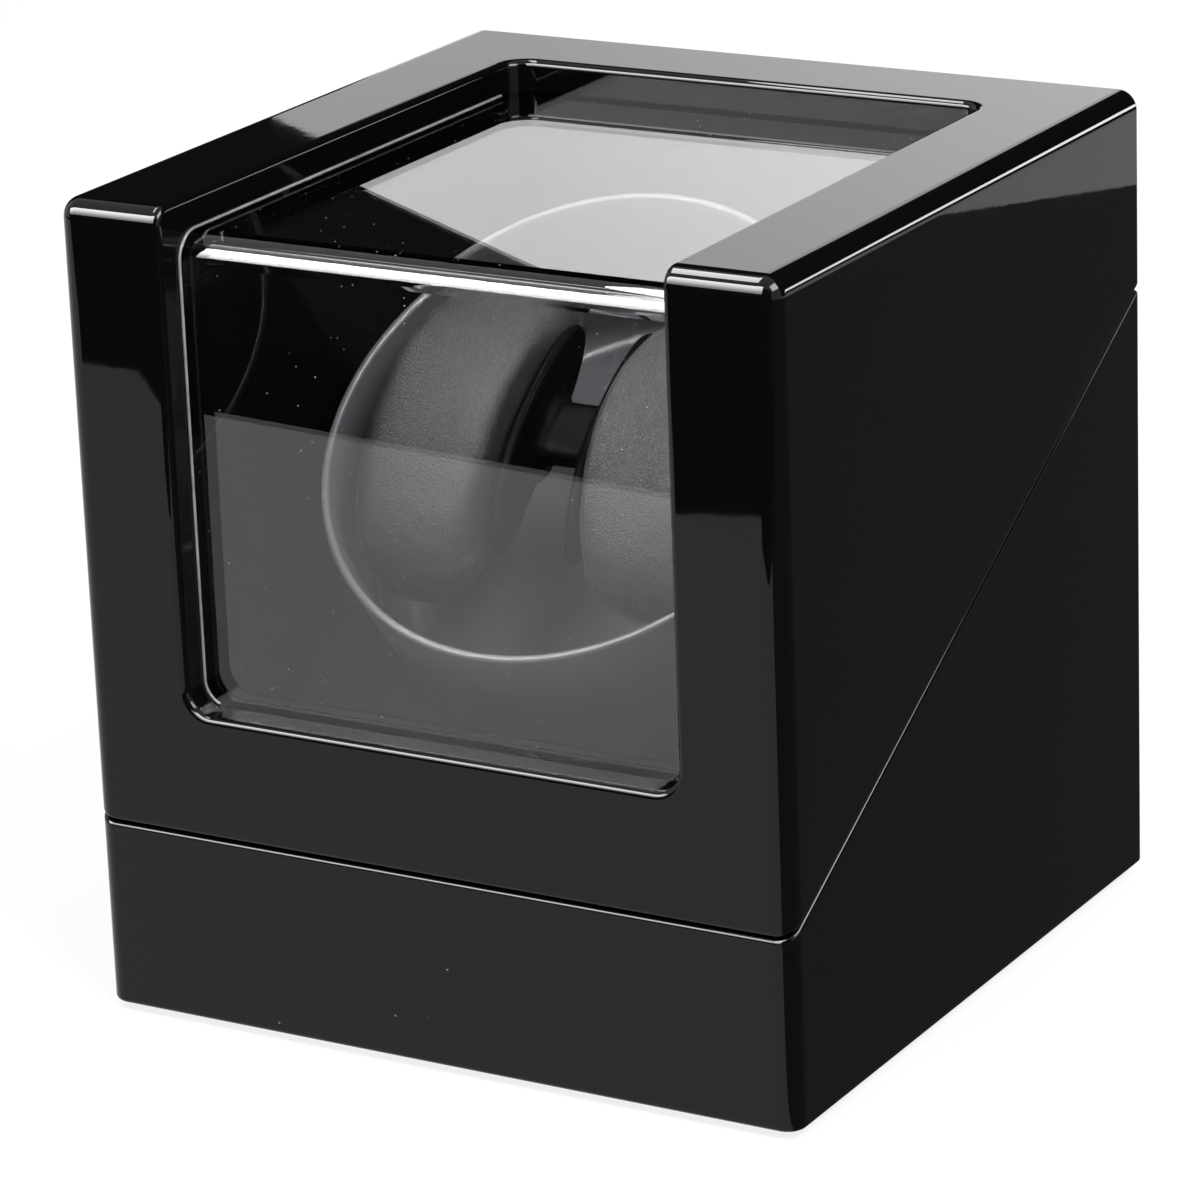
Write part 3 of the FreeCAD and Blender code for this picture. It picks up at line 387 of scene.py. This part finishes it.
cushion_half_width = 33.2 * MM
cushion_half_height = 25.0 * MM
cushion_side_radius = 21.0 * MM
cushion_centre_depth = 12.0 * MM
roll_outer_radius = 7.0 * MM
roll_inner_radius = 3.0 * MM
roll_crown = 0.3 * MM
roll_crease = 0.12 * MM
inner_corner_radius = 10.0 * MM
undercut_plane = -4.0 * MM
undercut_share = 0.16
undercut_run = 17.5 * MM
pad_middle_up = -2.0 * MM
pad_middle_out = -0.2 * MM
pad_half_length = 24.5 * MM
pad_half_depth = 7.0 * MM
pad_bend_radius = 60.0 * MM
pad_inner_x = 6.8 * MM
pad_edge_radius = 1.25 * MM
pad_clearance = 0.1 * MM
bar_half_width = 6.5 * MM
bar_half_depth = 3.0 * MM
bar_middle_out = -3.0 * MM
bar_root_radius = 3.5 * MM
bar_squareness = 3.2
bridge_crease = 0.015 * MM
start_slack = 0.5 * MM
swell_limit = 0.6 * MM
swell_frames = 20

# How finely the skins are divided
outline_steps = 132
edge_steps = 7
body_steps = 18
flare_steps = 9
end_shares = (0.25, 0.5, 0.72, 0.9)


def oval_point(angle, inset):
    """The cushion's four-arc section, by the direction that its skin faces. Gives (u, a)."""
    reach = cushion_half_width - cushion_side_radius
    gap = cushion_half_height - cushion_side_radius
    crown_radius = cushion_side_radius + (reach * reach + gap * gap) / (2 * gap)
    crown_centre = crown_radius - cushion_half_height
    turn = math.atan2(reach, crown_centre)
    u, a = math.sin(angle), math.cos(angle)
    if abs(a) >= math.cos(turn):
        radius, centre_u, centre_a = crown_radius, 0.0, -math.copysign(crown_centre, a)
    else:
        radius, centre_u, centre_a = cushion_side_radius, math.copysign(reach, u), 0.0
    return centre_u + (radius - inset) * u, centre_a + (radius - inset) * a - cushion_centre_depth


def pad_point(angle, inset):
    """The flat pad beside a roll: an ellipse whose lower half bends back. Gives (u, a)."""
    along = (pad_half_length - inset) * math.sin(angle)
    bend = min(along, 0.0) ** 2 / (2 * pad_bend_radius)
    return pad_middle_up + along, pad_middle_out + (pad_half_depth - inset) * math.cos(angle) - bend


def bar_point(angle, inset):
    """The strap bar's rounded section. Gives (u, a)."""
    u, a = math.sin(angle), math.cos(angle)
    reach = (abs(u) ** bar_squareness + abs(a) ** bar_squareness) ** (-1 / bar_squareness)
    return (bar_half_width - inset) * u * reach, bar_middle_out + (bar_half_depth - inset) * a * reach


def rounded_rows(first_x, last_x, first_radius, last_radius, crown):
    """Stations along a stuffed piece: (x, inset of the section, share of the section's size)."""

    def end(x, radius, inward):
        """A flat end that grows from its middle, and the rounding that follows it."""
        rows = [(x, radius, share) for share in end_shares]
        for step in range(edge_steps):
            turn = math.pi / 2 * step / edge_steps
            rows.append((x + inward * radius * (1 - math.cos(turn)), radius * (1 - math.sin(turn)), 1.0))
        return rows

    start, stop = first_x + first_radius, last_x - last_radius
    body = []
    for step in range(body_steps + 1):
        place = step / body_steps
        body.append((start + (stop - start) * place, -crown * math.sin(math.pi * place), 1.0))
    return end(first_x, first_radius, 1) + body + end(last_x, last_radius, -1)[::-1]


def unmoved(x, u, a):
    return u, a


def stuffed_form(builder, section, rows, middle, settle=unmoved):
    """A closed skin through the rows, with a point at the middle of each end. Settle moves the points."""
    rings = []
    for x, inset, share in rows:
        ring = []
        for step in range(outline_steps):
            u, a = section(2 * math.pi * step / outline_steps, inset)
            u, a = settle(x, u * share, middle + (a - middle) * share)
            ring.append(builder.verts.new(on_rotor(x, u, a)))
        rings.append(ring)
    for ring, following in zip(rings, rings[1:]):
        for step in range(outline_steps):
            onward = (step + 1) % outline_steps
            builder.faces.new((ring[step], ring[onward], following[onward], following[step]))
    for ring, row in ((rings[0], rows[0]), (rings[-1], rows[-1])):
        tip = builder.verts.new(on_rotor(row[0], *settle(row[0], 0.0, middle)))
        for step in range(outline_steps):
            builder.faces.new((ring[step], ring[(step + 1) % outline_steps], tip))


def finished_mesh(name, builder):
    bmesh.ops.recalc_face_normals(builder, faces=builder.faces)
    mesh = bpy.data.meshes.new(name)
    builder.to_mesh(mesh)
    builder.free()
    mesh.polygons.foreach_set("use_smooth", [True] * len(mesh.polygons))
    made = bpy.data.objects.new(name, mesh)
    bpy.context.scene.collection.objects.link(made)
    return made


def swell(piece):
    """Fills the skin with air as cloth, keeps each point near its start, and applies the result."""
    least_length = 1e-9
    scene = bpy.context.scene
    cloth = piece.modifiers.new("fill", "CLOTH")
    cloth.settings.quality = 4
    cloth.settings.mass = 0.15
    cloth.settings.tension_stiffness = 40
    cloth.settings.compression_stiffness = 40
    cloth.settings.shear_stiffness = 20
    cloth.settings.bending_stiffness = 6
    cloth.settings.use_pressure = True
    cloth.settings.uniform_pressure_force = 4
    cloth.settings.effector_weights.gravity = 0
    cloth.point_cache.frame_start = 1
    cloth.point_cache.frame_end = swell_frames
    for number in range(1, swell_frames + 1):
        scene.frame_set(number)
    filled = piece.evaluated_get(bpy.context.evaluated_depsgraph_get()).data
    count = len(piece.data.vertices)
    before = np.zeros(count * 3)
    after = np.zeros(count * 3)
    piece.data.vertices.foreach_get("co", before)
    filled.vertices.foreach_get("co", after)
    move = (after - before).reshape(-1, 3)
    length = np.linalg.norm(move, axis=1, keepdims=True)
    move *= np.minimum(1.0, swell_limit / np.maximum(length, least_length))
    piece.modifiers.remove(cloth)
    piece.data.vertices.foreach_set("co", before + move.ravel())
    piece.data.update()
    scene.frame_set(1)


def crease(piece, depth):
    """Shallow slanting creases all over the skin."""
    x_pitch, y_pitch, z_pitch, slant = 260, 120, 240, 90
    fading, spacing, layers, middle = 0.8, 2.1, 3, 0.3
    normals = [vertex.normal.copy() for vertex in piece.data.vertices]
    for vertex, normal in zip(piece.data.vertices, normals):
        x, y, z = vertex.co
        slanted = Vector((x * x_pitch + z * slant, y * y_pitch, z * z_pitch))
        vertex.co += normal * depth * (noise.fractal(slanted, fading, spacing, layers) - middle)
    piece.data.update()


def finish_leather(piece, node, slot, crease_depth):
    crease(piece, crease_depth)
    smoothing = piece.modifiers.new("smooth_skin", "SUBSURF")
    smoothing.levels = 1
    smoothing.render_levels = 1
    piece.data.materials.append(finishes[slot])
    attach(piece, "cushion")
    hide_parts(node)


def make_roll(side):
    node = f"cushion_roll_{side}"
    low, high = span(node, across)
    inner_end = min(abs(low), abs(high))
    end_radii = [roll_outer_radius, roll_inner_radius]
    if side == "right":
        end_radii.reverse()

    def undercut(x, u, a):
        """Rounds the roll's inner corners and draws its back in there, where the strap passes."""
        run = max(abs(x) - inner_end, 0.0)
        short = max(inner_corner_radius - run, 0.0)
        lost = inner_corner_radius - math.sqrt(inner_corner_radius ** 2 - short ** 2)
        depth = undercut_share + (1 - undercut_share) * min(run / undercut_run, 1.0)
        lower = min(a - undercut_plane, 0.0)
        return u * (1 - lost / cushion_half_width), a - lower * (1 - depth)

    def slack_oval(angle, inset):
        return oval_point(angle, inset + start_slack)

    builder = bmesh.new()
    rows = rounded_rows(low + start_slack, high - start_slack, *end_radii, roll_crown)
    stuffed_form(builder, slack_oval, rows, -cushion_centre_depth, undercut)
    piece = finished_mesh(f"{side}_roll_leather", builder)
    swell(piece)
    finish_leather(piece, node, "leather", roll_crease)


def flared_rows():
    """Stations along the strap bar, which widens in a hollow curve where it meets the pads."""
    half = []
    for step in range(flare_steps + 1):
        turn = math.pi / 2 * step / flare_steps
        x = pad_inner_x - bar_root_radius * (1 - math.sin(turn))
        half.append((x, -bar_root_radius * (1 - math.cos(turn)), 1.0))
    half.append((pad_inner_x + pad_edge_radius, -bar_root_radius, 1.0))
    return [(-x, inset, share) for x, inset, share in reversed(half)] + half


def make_bridge():
    """The two flat pads beside the rolls, and the bar between them that the strap goes round."""
    node = "cushion_bridge"
    low, high = span(node, across)
    builder = bmesh.new()
    for first, last in ((low + pad_clearance, -pad_inner_x), (pad_inner_x, high - pad_clearance)):
        rows = rounded_rows(first, last, pad_edge_radius, pad_edge_radius, 0.0)
        stuffed_form(builder, pad_point, rows, pad_middle_out)
    stuffed_form(builder, bar_point, flared_rows(), bar_middle_out)
    piece = finished_mesh("bridge_leather", builder)
    finish_leather(piece, node, "bridge_plastic", bridge_crease)


# Geometry trees

def start_tree(name, sizes, directions=()):
    """A geometry tree with its sizes, directions and finish as named inputs."""
    tree = bpy.data.node_groups.new(name, "GeometryNodeTree")
    tree.interface.new_socket("Geometry", in_out="INPUT", socket_type="NodeSocketGeometry")
    for size in sizes:
        tree.interface.new_socket(size, in_out="INPUT", socket_type="NodeSocketFloat")
    for direction in directions:
        tree.interface.new_socket(direction, in_out="INPUT", socket_type="NodeSocketVector")
    tree.interface.new_socket("Finish", in_out="INPUT", socket_type="NodeSocketMaterial")
    tree.interface.new_socket("Geometry", in_out="OUTPUT", socket_type="NodeSocketGeometry")
    return tree, Wiring(tree), tree.nodes.new("NodeGroupInput").outputs


def end_tree(work, geometry, finish):
    whole = work.add("GeometryNodeRealizeInstances", {"Geometry": geometry}).outputs[0]
    coated = work.add("GeometryNodeSetMaterial", {"Geometry": whole, "Material": finish}).outputs[0]
    work.add("NodeGroupOutput", {"Geometry": coated})


def grown(tree, start, values):
    """Runs a geometry tree on a starting mesh and gives the result as a plain mesh."""
    stand_in = bpy.data.objects.new(f"{start.name}_start", start)
    bpy.context.scene.collection.objects.link(stand_in)
    modifier = stand_in.modifiers.new("grow", "NODES")
    modifier.node_group = tree
    for item in tree.interface.items_tree:
        if item.in_out == "INPUT" and item.name in values:
            modifier[item.identifier] = values[item.name]
    shown = stand_in.evaluated_get(bpy.context.evaluated_depsgraph_get())
    whole = bpy.data.meshes.new_from_object(shown)
    bpy.data.objects.remove(stand_in)
    return whole


def add_piece(name, mesh, body):
    piece = bpy.data.objects.new(name, mesh)
    bpy.context.scene.collection.objects.link(piece)
    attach(piece, body)
    return piece


# Cross-recessed screws

screw_bodies = {
    "lid_hinge_screws": "lid",
    "base_hinge_screws": "base",
    "bottom_panel_screws": "base",
    "deck_screws": "base",
    "plate_screws": "base",
    "pillar_screws": "base",
    "motor_screws": "base",
}
head_sides = 28
shank_sides = 20
recess_length_share = 1.15
recess_width_share = 0.24
recess_depth_share = 0.34
screw_turn_seed = 7
merge_distance = 0.001 * MM
level_tolerance = 0.01 * MM


def screw_tree():
    """Countersunk screws with a cross recess, one at each point, heads facing along the axis."""
    tree, work, given = start_tree(
        "cross_recess_screws",
        ["Head Radius", "Shank Radius", "Length", "Recess Width", "Recess Depth"], ["Axis"])

    def point(x, y, z):
        return work.add("ShaderNodeCombineXYZ", {"X": x, "Y": y, "Z": z}).outputs[0]

    def shifted(geometry, height):
        place = point(0.0, 0.0, height)
        return work.add("GeometryNodeTransform", {"Geometry": geometry, "Translation": place}).outputs[0]

    def cylinder(sides, radius, length):
        values = {"Vertices": sides, "Radius": radius, "Depth": length}
        return work.add("GeometryNodeMeshCylinder", values).outputs["Mesh"]

    def slab(width, depth, height):
        return work.add("GeometryNodeMeshCube", {"Size": point(width, depth, height)}).outputs["Mesh"]

    def boolean(operation, first, second):
        made = work.add("GeometryNodeMeshBoolean", operation=operation, solver="EXACT")
        work.feed(made.inputs["Mesh 1" if operation == "DIFFERENCE" else "Mesh 2"], first)
        work.feed(made.inputs["Mesh 2"], second)
        return made.outputs["Mesh"]

    head_height = work.math("SUBTRACT", given["Head Radius"], given["Shank Radius"])
    half_length = work.math("MULTIPLY", given["Length"], 0.5)
    below_top = work.math("MULTIPLY", half_length, -1.0)

    # The head is a cylinder whose foot is drawn up and in to the neck
    place = work.add("GeometryNodeInputPosition").outputs[0]
    split = work.add("ShaderNodeSeparateXYZ", {"Vector": place}).outputs
    narrow = work.math("DIVIDE", given["Shank Radius"], given["Head Radius"])
    neck = point(work.math("MULTIPLY", split["X"], narrow), work.math("MULTIPLY", split["Y"], narrow),
                 work.math("SUBTRACT", half_length, head_height))
    cone = work.add("GeometryNodeSetPosition", {
        "Geometry": cylinder(head_sides, given["Head Radius"], given["Length"]),
        "Selection": work.math("LESS_THAN", split["Z"], 0.0),
        "Position": neck}).outputs[0]

    recess_length = work.math("MULTIPLY", given["Head Radius"], recess_length_share)
    double_depth = work.math("MULTIPLY", given["Recess Depth"], 2.0)
    cross = boolean("UNION", slab(recess_length, given["Recess Width"], double_depth),
                    slab(given["Recess Width"], recess_length, double_depth))
    cut_head = boolean("DIFFERENCE", shifted(cone, below_top), cross)

    shank = cylinder(shank_sides, given["Shank Radius"], work.math("SUBTRACT", given["Length"], head_height))
    shank_low = work.math("ADD", below_top, work.math("MULTIPLY", head_height, -0.5))
    join = work.add("GeometryNodeJoinGeometry")
    work.feed(join.inputs[0], cut_head)
    work.feed(join.inputs[0], shifted(shank, shank_low))

    faced = work.add("FunctionNodeAlignRotationToVector", {"Vector": given["Axis"]}, axis="Z").outputs[0]
    # A random value gives its plain number on the second output
    turn = work.add("FunctionNodeRandomValue", data_type="FLOAT")
    turn.inputs["Max"].default_value = math.pi
    turn.inputs["Seed"].default_value = screw_turn_seed
    spin = work.add("FunctionNodeAxisAngleToRotation", {"Axis": (0, 0, 1), "Angle": turn.outputs[1]})
    turned = work.add("FunctionNodeRotateRotation", {"Rotation": faced, "Rotate By": spin.outputs[0]},
                      rotation_space="LOCAL")
    placed = work.add("GeometryNodeInstanceOnPoints", {
        "Points": given["Geometry"], "Instance": join.outputs[0], "Rotation": turned.outputs[0]})
    end_tree(work, placed.outputs[0], given["Finish"])
    return tree


def islands(node):
    """The separate solids in a node, as arrays of points."""
    builder = bmesh.new()
    builder.from_mesh(nodes[node].data)
    bmesh.ops.remove_doubles(builder, verts=builder.verts, dist=merge_distance)
    left = set(builder.verts)
    found = []
    while left:
        reached = [left.pop()]
        for vertex in reached:
            for edge in vertex.link_edges:
                other = edge.other_vert(vertex)
                if other in left:
                    left.discard(other)
                    reached.append(other)
        found.append(np.array([vertex.co for vertex in reached]))
    builder.free()
    return sorted(found, key=lambda points: tuple(points.mean(0).round(5)))


def measure_screw(points):
    """Top of the head, the way that the head faces, head radius, shank radius and length."""
    middle = (points.max(0) + points.min(0)) / 2
    axis = np.linalg.eigh(np.cov((points - middle).T))[1][:, -1]
    along = (points - middle) @ axis
    radius = np.linalg.norm(points - middle - np.outer(along, axis), axis=1)
    if radius[along > 0].max() < radius[along < 0].max():
        axis, along = -axis, -along
    top = middle + axis * along.max()
    shank = radius[along < along.min() + level_tolerance].max()
    return top, axis, radius.max(), shank, along.max() - along.min()


def make_screws(node, body, tree, finish):
    """Cross-recessed screws in place of a node's plain ones."""
    measured = [measure_screw(points) for points in islands(node)]
    _, axis, head, shank, length = measured[0]
    places = bpy.data.meshes.new(f"{node}_places")
    places.from_pydata([row[0] for row in measured], [], [])
    whole = grown(tree, places, {
        "Head Radius": float(head),
        "Shank Radius": float(shank),
        "Length": float(length),
        "Recess Width": float(head * recess_width_share),
        "Recess Depth": float(head * recess_depth_share),
        "Axis": axis,
        "Finish": finish})
    piece = add_piece(f"{node}_cross_recess", whole, body)
    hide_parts(node)


def make_all_screws():
    tree = screw_tree()
    for node, body in screw_bodies.items():
        # The deck screws take the near-black finish, and the others take plain screw plating.
        finish = near_black_deck_steel if node == "deck_screws" else finishes["screw_steel"]
        make_screws(node, body, tree, finish)


# The clear bead that holds the window sheet in its opening. Its pale grey colour is painted highlight.

opening_half_width = 52.5 * MM
opening_back = 49.35 * MM
opening_corner = 5.0 * MM
sill_height = 63.4 * MM
sheet_bend_radius = 5.5 * MM
bead_radius = 0.32 * MM
bead_inset = 0.25 * MM
bead_step = 1.0 * MM
bead_sides = 8
corner_turns = [math.radians(degrees) for degrees in range(-70, 1, 10)]


def bead_tree():
    """A round bead along a path, closed at both ends."""
    tree, work, given = start_tree("bead_along_path", ["Radius"])
    path = work.add("GeometryNodeMeshToCurve", {"Mesh": given["Geometry"]}).outputs["Curve"]
    ring = work.add("GeometryNodeCurvePrimitiveCircle", {
        "Resolution": bead_sides, "Radius": given["Radius"]}).outputs["Curve"]
    tube = work.add("GeometryNodeCurveToMesh", {
        "Curve": path, "Profile Curve": ring, "Fill Caps": True}).outputs["Mesh"]
    smooth = work.add("GeometryNodeSetShadeSmooth", {"Geometry": tube}).outputs["Geometry"]
    end_tree(work, smooth, given["Finish"])
    return tree


def sheet_side():
    """The bead's path on one side of the flat sheet, as (across, along the sheet from the sill).

    It starts in the lower corner and ends below the upper one. The length of the sheet's straight
    front and the place of its front face come with it.
    """
    low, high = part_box("window_sheet")
    straight = high[2] - sheet_bend_radius - sill_height
    length = straight + sheet_bend_radius * math.pi / 2 + opening_back - low[1] - sheet_bend_radius
    corner = opening_corner - bead_inset
    x = opening_half_width - bead_inset - corner
    points = []
    for turn in corner_turns:
        points.append(Vector((x + corner * math.cos(turn), bead_inset + corner + corner * math.sin(turn))))
    points.append(Vector((x + corner, length - bead_inset - corner)))
    dense = []
    for point, following in zip(points, points[1:]):
        pieces = max(1, round((following - point).length / bead_step))
        dense.extend(point.lerp(following, step / pieces) for step in range(pieces))
    return dense, straight, low[1]


def make_window_bead():
    dense, straight, front = sheet_side()
    bend = sheet_bend_radius
    places, edges = [], []
    for side in (-1, 1):
        for step, (x, along) in enumerate(dense):
            turn = min(max((along - straight) / bend, 0.0), math.pi / 2)
            after = max(along - straight - bend * math.pi / 2, 0.0)
            y = front + bend * (1 - math.cos(turn)) + after
            z = sill_height + min(along, straight) + bend * math.sin(turn)
            if step:
                edges.append((len(places) - 1, len(places)))
            places.append(Vector((side * x, y, z)))
    path = bpy.data.meshes.new("window_bead_path")
    path.from_pydata(places, edges, [])
    # The real bead is clear resin. Its grey, from near black to pale in random patches, is painted highlight for
    # the bright line along the window's edge.
    finish = plain_skin("bead_painted_highlight", grey(0.50), grey(0.02), roughness=0.16, level=0.4,
                        grain=300.0, relief=0.04 * MM)
    whole = grown(bead_tree(), path, {"Radius": bead_radius, "Finish": finish})
    add_piece("window_bead", whole, "lid")


# Studio, in metres

back_wall = 1.0
back_flag_wall = 1.05
front_wall = -1.7
above_floor = 0.001
floor_reach = 4.0
flag_glow = 0.01
room_light = 0.30
studio_aim = Vector((0.0, -0.01, 0.09))

# Outlines on a wall as (x, z), and on the floor as (x, y)
back_panel_outline = [
    (-0.745, 0.05), (-0.22, 0.05), (-0.22, 0.70),
    (-0.56, 0.70), (-0.60, 0.497), (-0.745, 0.452)]
front_floor_outline = [
    (-2.5, -1.7), (2.5, -1.7), (2.5, -0.30), (-0.106, -0.3985),
    (-0.131, -0.3904), (-0.279, -0.4054), (-0.318, -0.4456), (-2.5, -0.43)]
right_floor_outline = [
    (0.060, -0.07), (0.0765, -0.0795), (0.20, -0.40), (1.2, -0.40),
    (1.2, 0.20), (0.345, 0.51), (0.302, 0.57), (0.060, 0.70)]


def rectangle(left, right, low, high):
    return [(left, low), (right, low), (right, high), (left, high)]


def on_wall(y, outline):
    return [(x, y, z) for x, z in outline]


def on_level(z, outline):
    return [(x, y, z) for x, y in outline]


def leaning(start, along, rise):
    """Corners of a card that leans, from one corner, along its foot and up its slope."""
    corner, foot, slope = Vector(start), Vector(along), Vector(rise)
    return [corner, corner + foot, corner + foot + slope, corner + slope]


def emitter(name, brightness, fade):
    """A glowing card. A fade is an axis, where it starts and ends, and the brightness at its end."""
    material, shading = bare_material(name)
    if fade:
        axis, start, stop, last = fade
        place = shading.add("ShaderNodeSeparateXYZ", {"Vector": shading.object_place()}).outputs[axis]
        brightness = shading.rescale(place, start, stop, brightness, last)
    light = shading.add("ShaderNodeEmission", {"Color": grey(1.0), "Strength": brightness})
    shading.add("ShaderNodeOutputMaterial", {"Surface": light.outputs[0]})
    return material


def sheet_object(name, corners, material):
    mesh = bpy.data.meshes.new(name)
    mesh.from_pydata([Vector(corner) for corner in corners], [], [tuple(range(len(corners)))])
    mesh.materials.append(material)
    made = bpy.data.objects.new(name, mesh)
    bpy.context.scene.collection.objects.link(made)
    return made


def card(name, corners, brightness, fade=None):
    """A studio card that shows only in polished faces and through glass, and casts no shadow."""
    made = sheet_object(name, corners, emitter(name, brightness, fade))
    made.visible_camera = False
    made.visible_diffuse = False
    made.visible_shadow = False
    made.visible_volume_scatter = False


def eye_or_mirror(shading):
    """1 for what the eye, polished faces and glass see, and 0 for the light that falls on things."""
    path = shading.add("ShaderNodeLightPath").outputs
    seen = shading.math("MAXIMUM", path["Is Camera Ray"], path["Is Glossy Ray"])
    return shading.math("MAXIMUM", seen, path["Is Transmission Ray"])


def white_floor():
    """White to the eye and in polished faces, with the object's soft shadow kept on it."""
    paper_tone, shadow_tone, glow_strength = 0.78, 0.16, 0.84
    material, shading = bare_material("white_floor")
    paper = shading.add("ShaderNodeBsdfDiffuse", {"Color": grey(paper_tone)}).outputs[0]
    shaded = shading.add("ShaderNodeBsdfDiffuse", {"Color": grey(shadow_tone)}).outputs[0]
    glow = shading.add("ShaderNodeEmission", {"Color": grey(1.0), "Strength": glow_strength}).outputs[0]
    lit = shading.add("ShaderNodeAddShader", {0: shaded, 1: glow}).outputs[0]
    surface = shading.mix_shaders(eye_or_mirror(shading), paper, lit)
    shading.add("ShaderNodeOutputMaterial", {"Surface": surface})
    edges = rectangle(-floor_reach, floor_reach, -floor_reach, floor_reach)
    sheet_object("floor", on_level(0.0, edges), material)


def set_world():
    world = bpy.data.worlds.new("pale_room")
    world.use_nodes = True
    world.node_tree.nodes.clear()
    shading = Wiring(world.node_tree)
    strength = shading.rescale(eye_or_mirror(shading), 0.0, 1.0, room_light, 1.0)
    sky = shading.add("ShaderNodeBackground", {"Color": grey(1.0), "Strength": strength})
    shading.add("ShaderNodeOutputWorld", {"Surface": sky.outputs[0]})
    bpy.context.scene.world = world


def softbox(name, place, width, depth, power):
    """A lamp that lights the object and doesn't show in polished faces."""
    data = bpy.data.lights.new(name, "AREA")
    data.shape = "RECTANGLE"
    data.size = width
    data.size_y = depth
    data.energy = power
    lamp = bpy.data.objects.new(name, data)
    lamp.location = place
    lamp.rotation_euler = (studio_aim - Vector(place)).to_track_quat("-Z", "Y").to_euler()
    lamp.visible_glossy = False
    bpy.context.scene.collection.objects.link(lamp)


def make_studio():
    set_world()
    white_floor()
    card("back_panel", on_wall(back_wall, back_panel_outline), brightness=1.30,
         fade=("X", -0.62, -0.36, 1.80))
    card("back_flag", on_wall(back_flag_wall, rectangle(-3.0, 3.0, 0.0, 2.2)), flag_glow)
    card("back_strip", on_wall(back_wall, rectangle(0.40, 1.10, 0.12, 0.24)), brightness=12.0)
    card("front_flag", on_wall(front_wall, rectangle(-2.5, 2.5, 0.0, 1.9)), flag_glow)
    card("front_floor_flag", on_level(above_floor, front_floor_outline), flag_glow)
    card("right_floor_flag", on_level(above_floor, right_floor_outline), brightness=0.10)
    card("front_softbox", leaning((-1.5, -1.08, 0.44), along=(1.65, 0, 0), rise=(0, 0.42, 0.51)),
         brightness=9.0, fade=("Z", 0.52, 0.90, 42.0))
    card("top_softbox", on_level(1.30, rectangle(-0.60, -0.35, -0.40, 0.25)), brightness=26.0)
    card("right_softbox", leaning((0.86, -0.42, 0.60), along=(0, 0.62, 0), rise=(-0.26, 0, 0.38)),
         brightness=20.0)
    softbox("key", (-0.35, -0.60, 1.25), width=0.8, depth=0.8, power=11.0)
    softbox("fill", (0.75, -0.45, 1.0), width=0.5, depth=0.5, power=13.0)
    softbox("rim", (0.1, 0.95, 0.75), width=1.2, depth=0.5, power=7.0)


def make_camera():
    data = bpy.data.cameras.new("photo_view")
    data.lens = camera_lens
    data.sensor_width = camera_sensor
    camera = bpy.data.objects.new("photo_view", data)
    sideways, forward = math.sin(camera_azimuth), math.cos(camera_azimuth)
    level = math.cos(camera_elevation)
    back = Vector((sideways * level, -forward * level, math.sin(camera_elevation)))
    right = Vector((forward, sideways, 0))
    up = back.cross(right)
    tilt, lean = math.cos(camera_roll), math.sin(camera_roll)
    right, up = right * tilt + up * lean, up * tilt - right * lean
    turned = Matrix((right, up, back)).transposed()
    camera.matrix_world = Matrix.Translation(camera_place) @ turned.to_4x4()
    bpy.context.scene.collection.objects.link(camera)
    bpy.context.scene.camera = camera


dress_cad_nodes()
make_camera()
make_roll("left")
make_roll("right")
make_bridge()
make_all_screws()
make_window_bead()
make_studio()
bpy.context.scene.view_settings.view_transform = "Standard"
